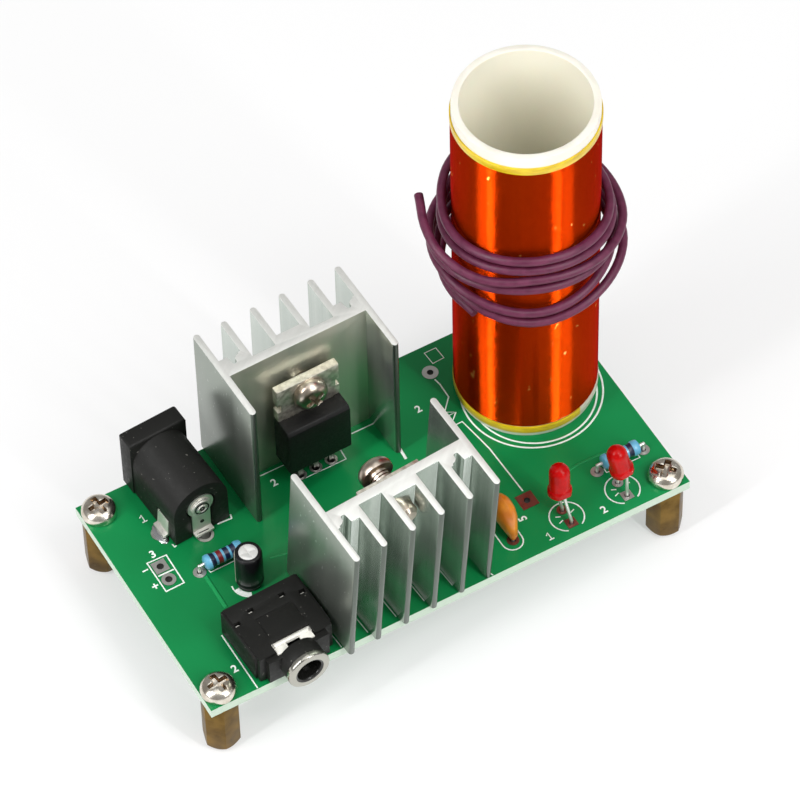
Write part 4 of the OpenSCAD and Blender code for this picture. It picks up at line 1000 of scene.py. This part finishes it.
# Dipped capacitor
# A stack of ceramic plates between two leads, dipped twice in orange resin,
# which runs a little way down the leads.
resin = material("orange_resin", (0.72, 0.22, 0.012), 0.3, Coat_Weight=0.5, Coat_Roughness=0.12)
two_tone(resin, grain(resin, 500), (0.62, 0.165, 0.008), (0.80, 0.28, 0.018), 0.35, 0.68)
bumped(resin, grain(resin, 1300, detail=6), 0.09, 0.5)
resin_drop = broken_edges("dipped_capacitor_body", "resin_drop", 0.02, sharp=60)
take(resin_drop)
bpy.ops.object.shade_smooth()
finish_with(resin_drop, resin)
finish_with(nodes_of["dipped_capacitor_leads"], bright_tin)

# Diodes
# Red tinted epoxy cast round a lead frame, with a flat on one side of its
# flange. They stand high on untrimmed leads, and lean as they were soldered.
tinted = material("red_epoxy", (0.5, 0.003, 0.003), 0.12, Transmission_Weight=0.15, IOR=1.45,
                  Specular_IOR_Level=0.15, Coat_Weight=0.05, Coat_Roughness=0.04)
two_tone(tinted, grain(tinted, 600), (0.46, 0.002, 0.002), (0.64, 0.004, 0.004), 0.35, 0.65)
rough_range(tinted, grain(tinted, 1500), 0.1, 0.18)
for number in (1, 2):
    finish_with(broken_edges(f"led_{number}_lens", f"led_{number}_dome", 0.06), tinted)
    finish_with(nodes_of[f"led_{number}_leads"], bright_tin)

# Studio
# A pale table that runs up into a white surround, with two tall soft boxes at
# the sides, which draw the two bright lines down the winding.
deselect()
bpy.ops.mesh.primitive_plane_add(size=6, location=(0, 0, 0))
table = bpy.context.object
table.name = "table"
table_paint = material("table_white", (0.93, 0.93, 0.93), 0.6)
tree = table_paint.node_tree

# To the camera and to shiny faces the table is partly plain white, and less so
# near the part, where its shadow stays
rays = tree.nodes.new("ShaderNodeLightPath").outputs
seen = joined(table_paint, "MAXIMUM", rays["Is Camera Ray"],
              joined(table_paint, "MULTIPLY", rays["Is Glossy Ray"], 0.5))
away = from_axis(table_paint, (0, 0, 0), (0.52, 1, 0))
fade = ranged(table_paint, away, 22 * mm, 60 * mm, 0.45, 0.7)
glow = tree.nodes.new("ShaderNodeEmission")
glow.inputs["Color"].default_value = (1, 1, 1, 1)
blend = tree.nodes.new("ShaderNodeMixShader")
tree.links.new(joined(table_paint, "MULTIPLY", seen, fade), blend.inputs["Fac"])
tree.links.new(tree.nodes["Principled BSDF"].outputs["BSDF"], blend.inputs[1])
tree.links.new(glow.outputs["Emission"], blend.inputs[2])
tree.links.new(blend.outputs["Shader"], tree.nodes["Material Output"].inputs["Surface"])
table.data.materials.append(table_paint)

surround = bpy.data.worlds.new("surround")
bpy.context.scene.world = surround
surround.use_nodes = True
tree = surround.node_tree
sky = tree.nodes["Background"]
sky.inputs["Color"].default_value = (1, 1, 1, 1)
rays = tree.nodes.new("ShaderNodeLightPath").outputs
tree.links.new(ranged(surround, rays["Is Camera Ray"], 0, 1, 0.34, 1), sky.inputs["Strength"])


def soft_box(name, azimuth, elevation, away, wide, high, power):
    """An area lamp that faces the board."""
    lamp = bpy.data.lights.new(name, "AREA")
    lamp.shape = "RECTANGLE"
    lamp.size = wide
    lamp.size_y = high
    lamp.energy = power
    stand = bpy.data.objects.new(name, lamp)
    bpy.context.scene.collection.objects.link(stand)
    a, e = math.radians(azimuth), math.radians(elevation)
    way = Vector((math.cos(a) * math.cos(e), math.sin(a) * math.cos(e), math.sin(e)))
    stand.location = camera_target + way * away
    stand.rotation_euler = way.to_track_quat("Z", "Y").to_euler()


# Each side has a narrow bright lamp with a wide dim one beside it. Angles are in
# degrees, and the lamps' distances and sizes in metres
soft_box("left_box", -169, 38, 0.6, 0.032, 0.55, 1.5)
soft_box("left_fill", -180.5, 38, 0.6, 0.12, 0.55, 0.8)
soft_box("right_box", -75, 42, 0.6, 0.026, 0.55, 1.25)
soft_box("right_fill", -62, 42, 0.6, 0.14, 0.55, 0.75)
soft_box("top_box", -60, 80, 0.7, 0.6, 0.6, 1.2)

bpy.context.scene.view_settings.view_transform = "Standard"
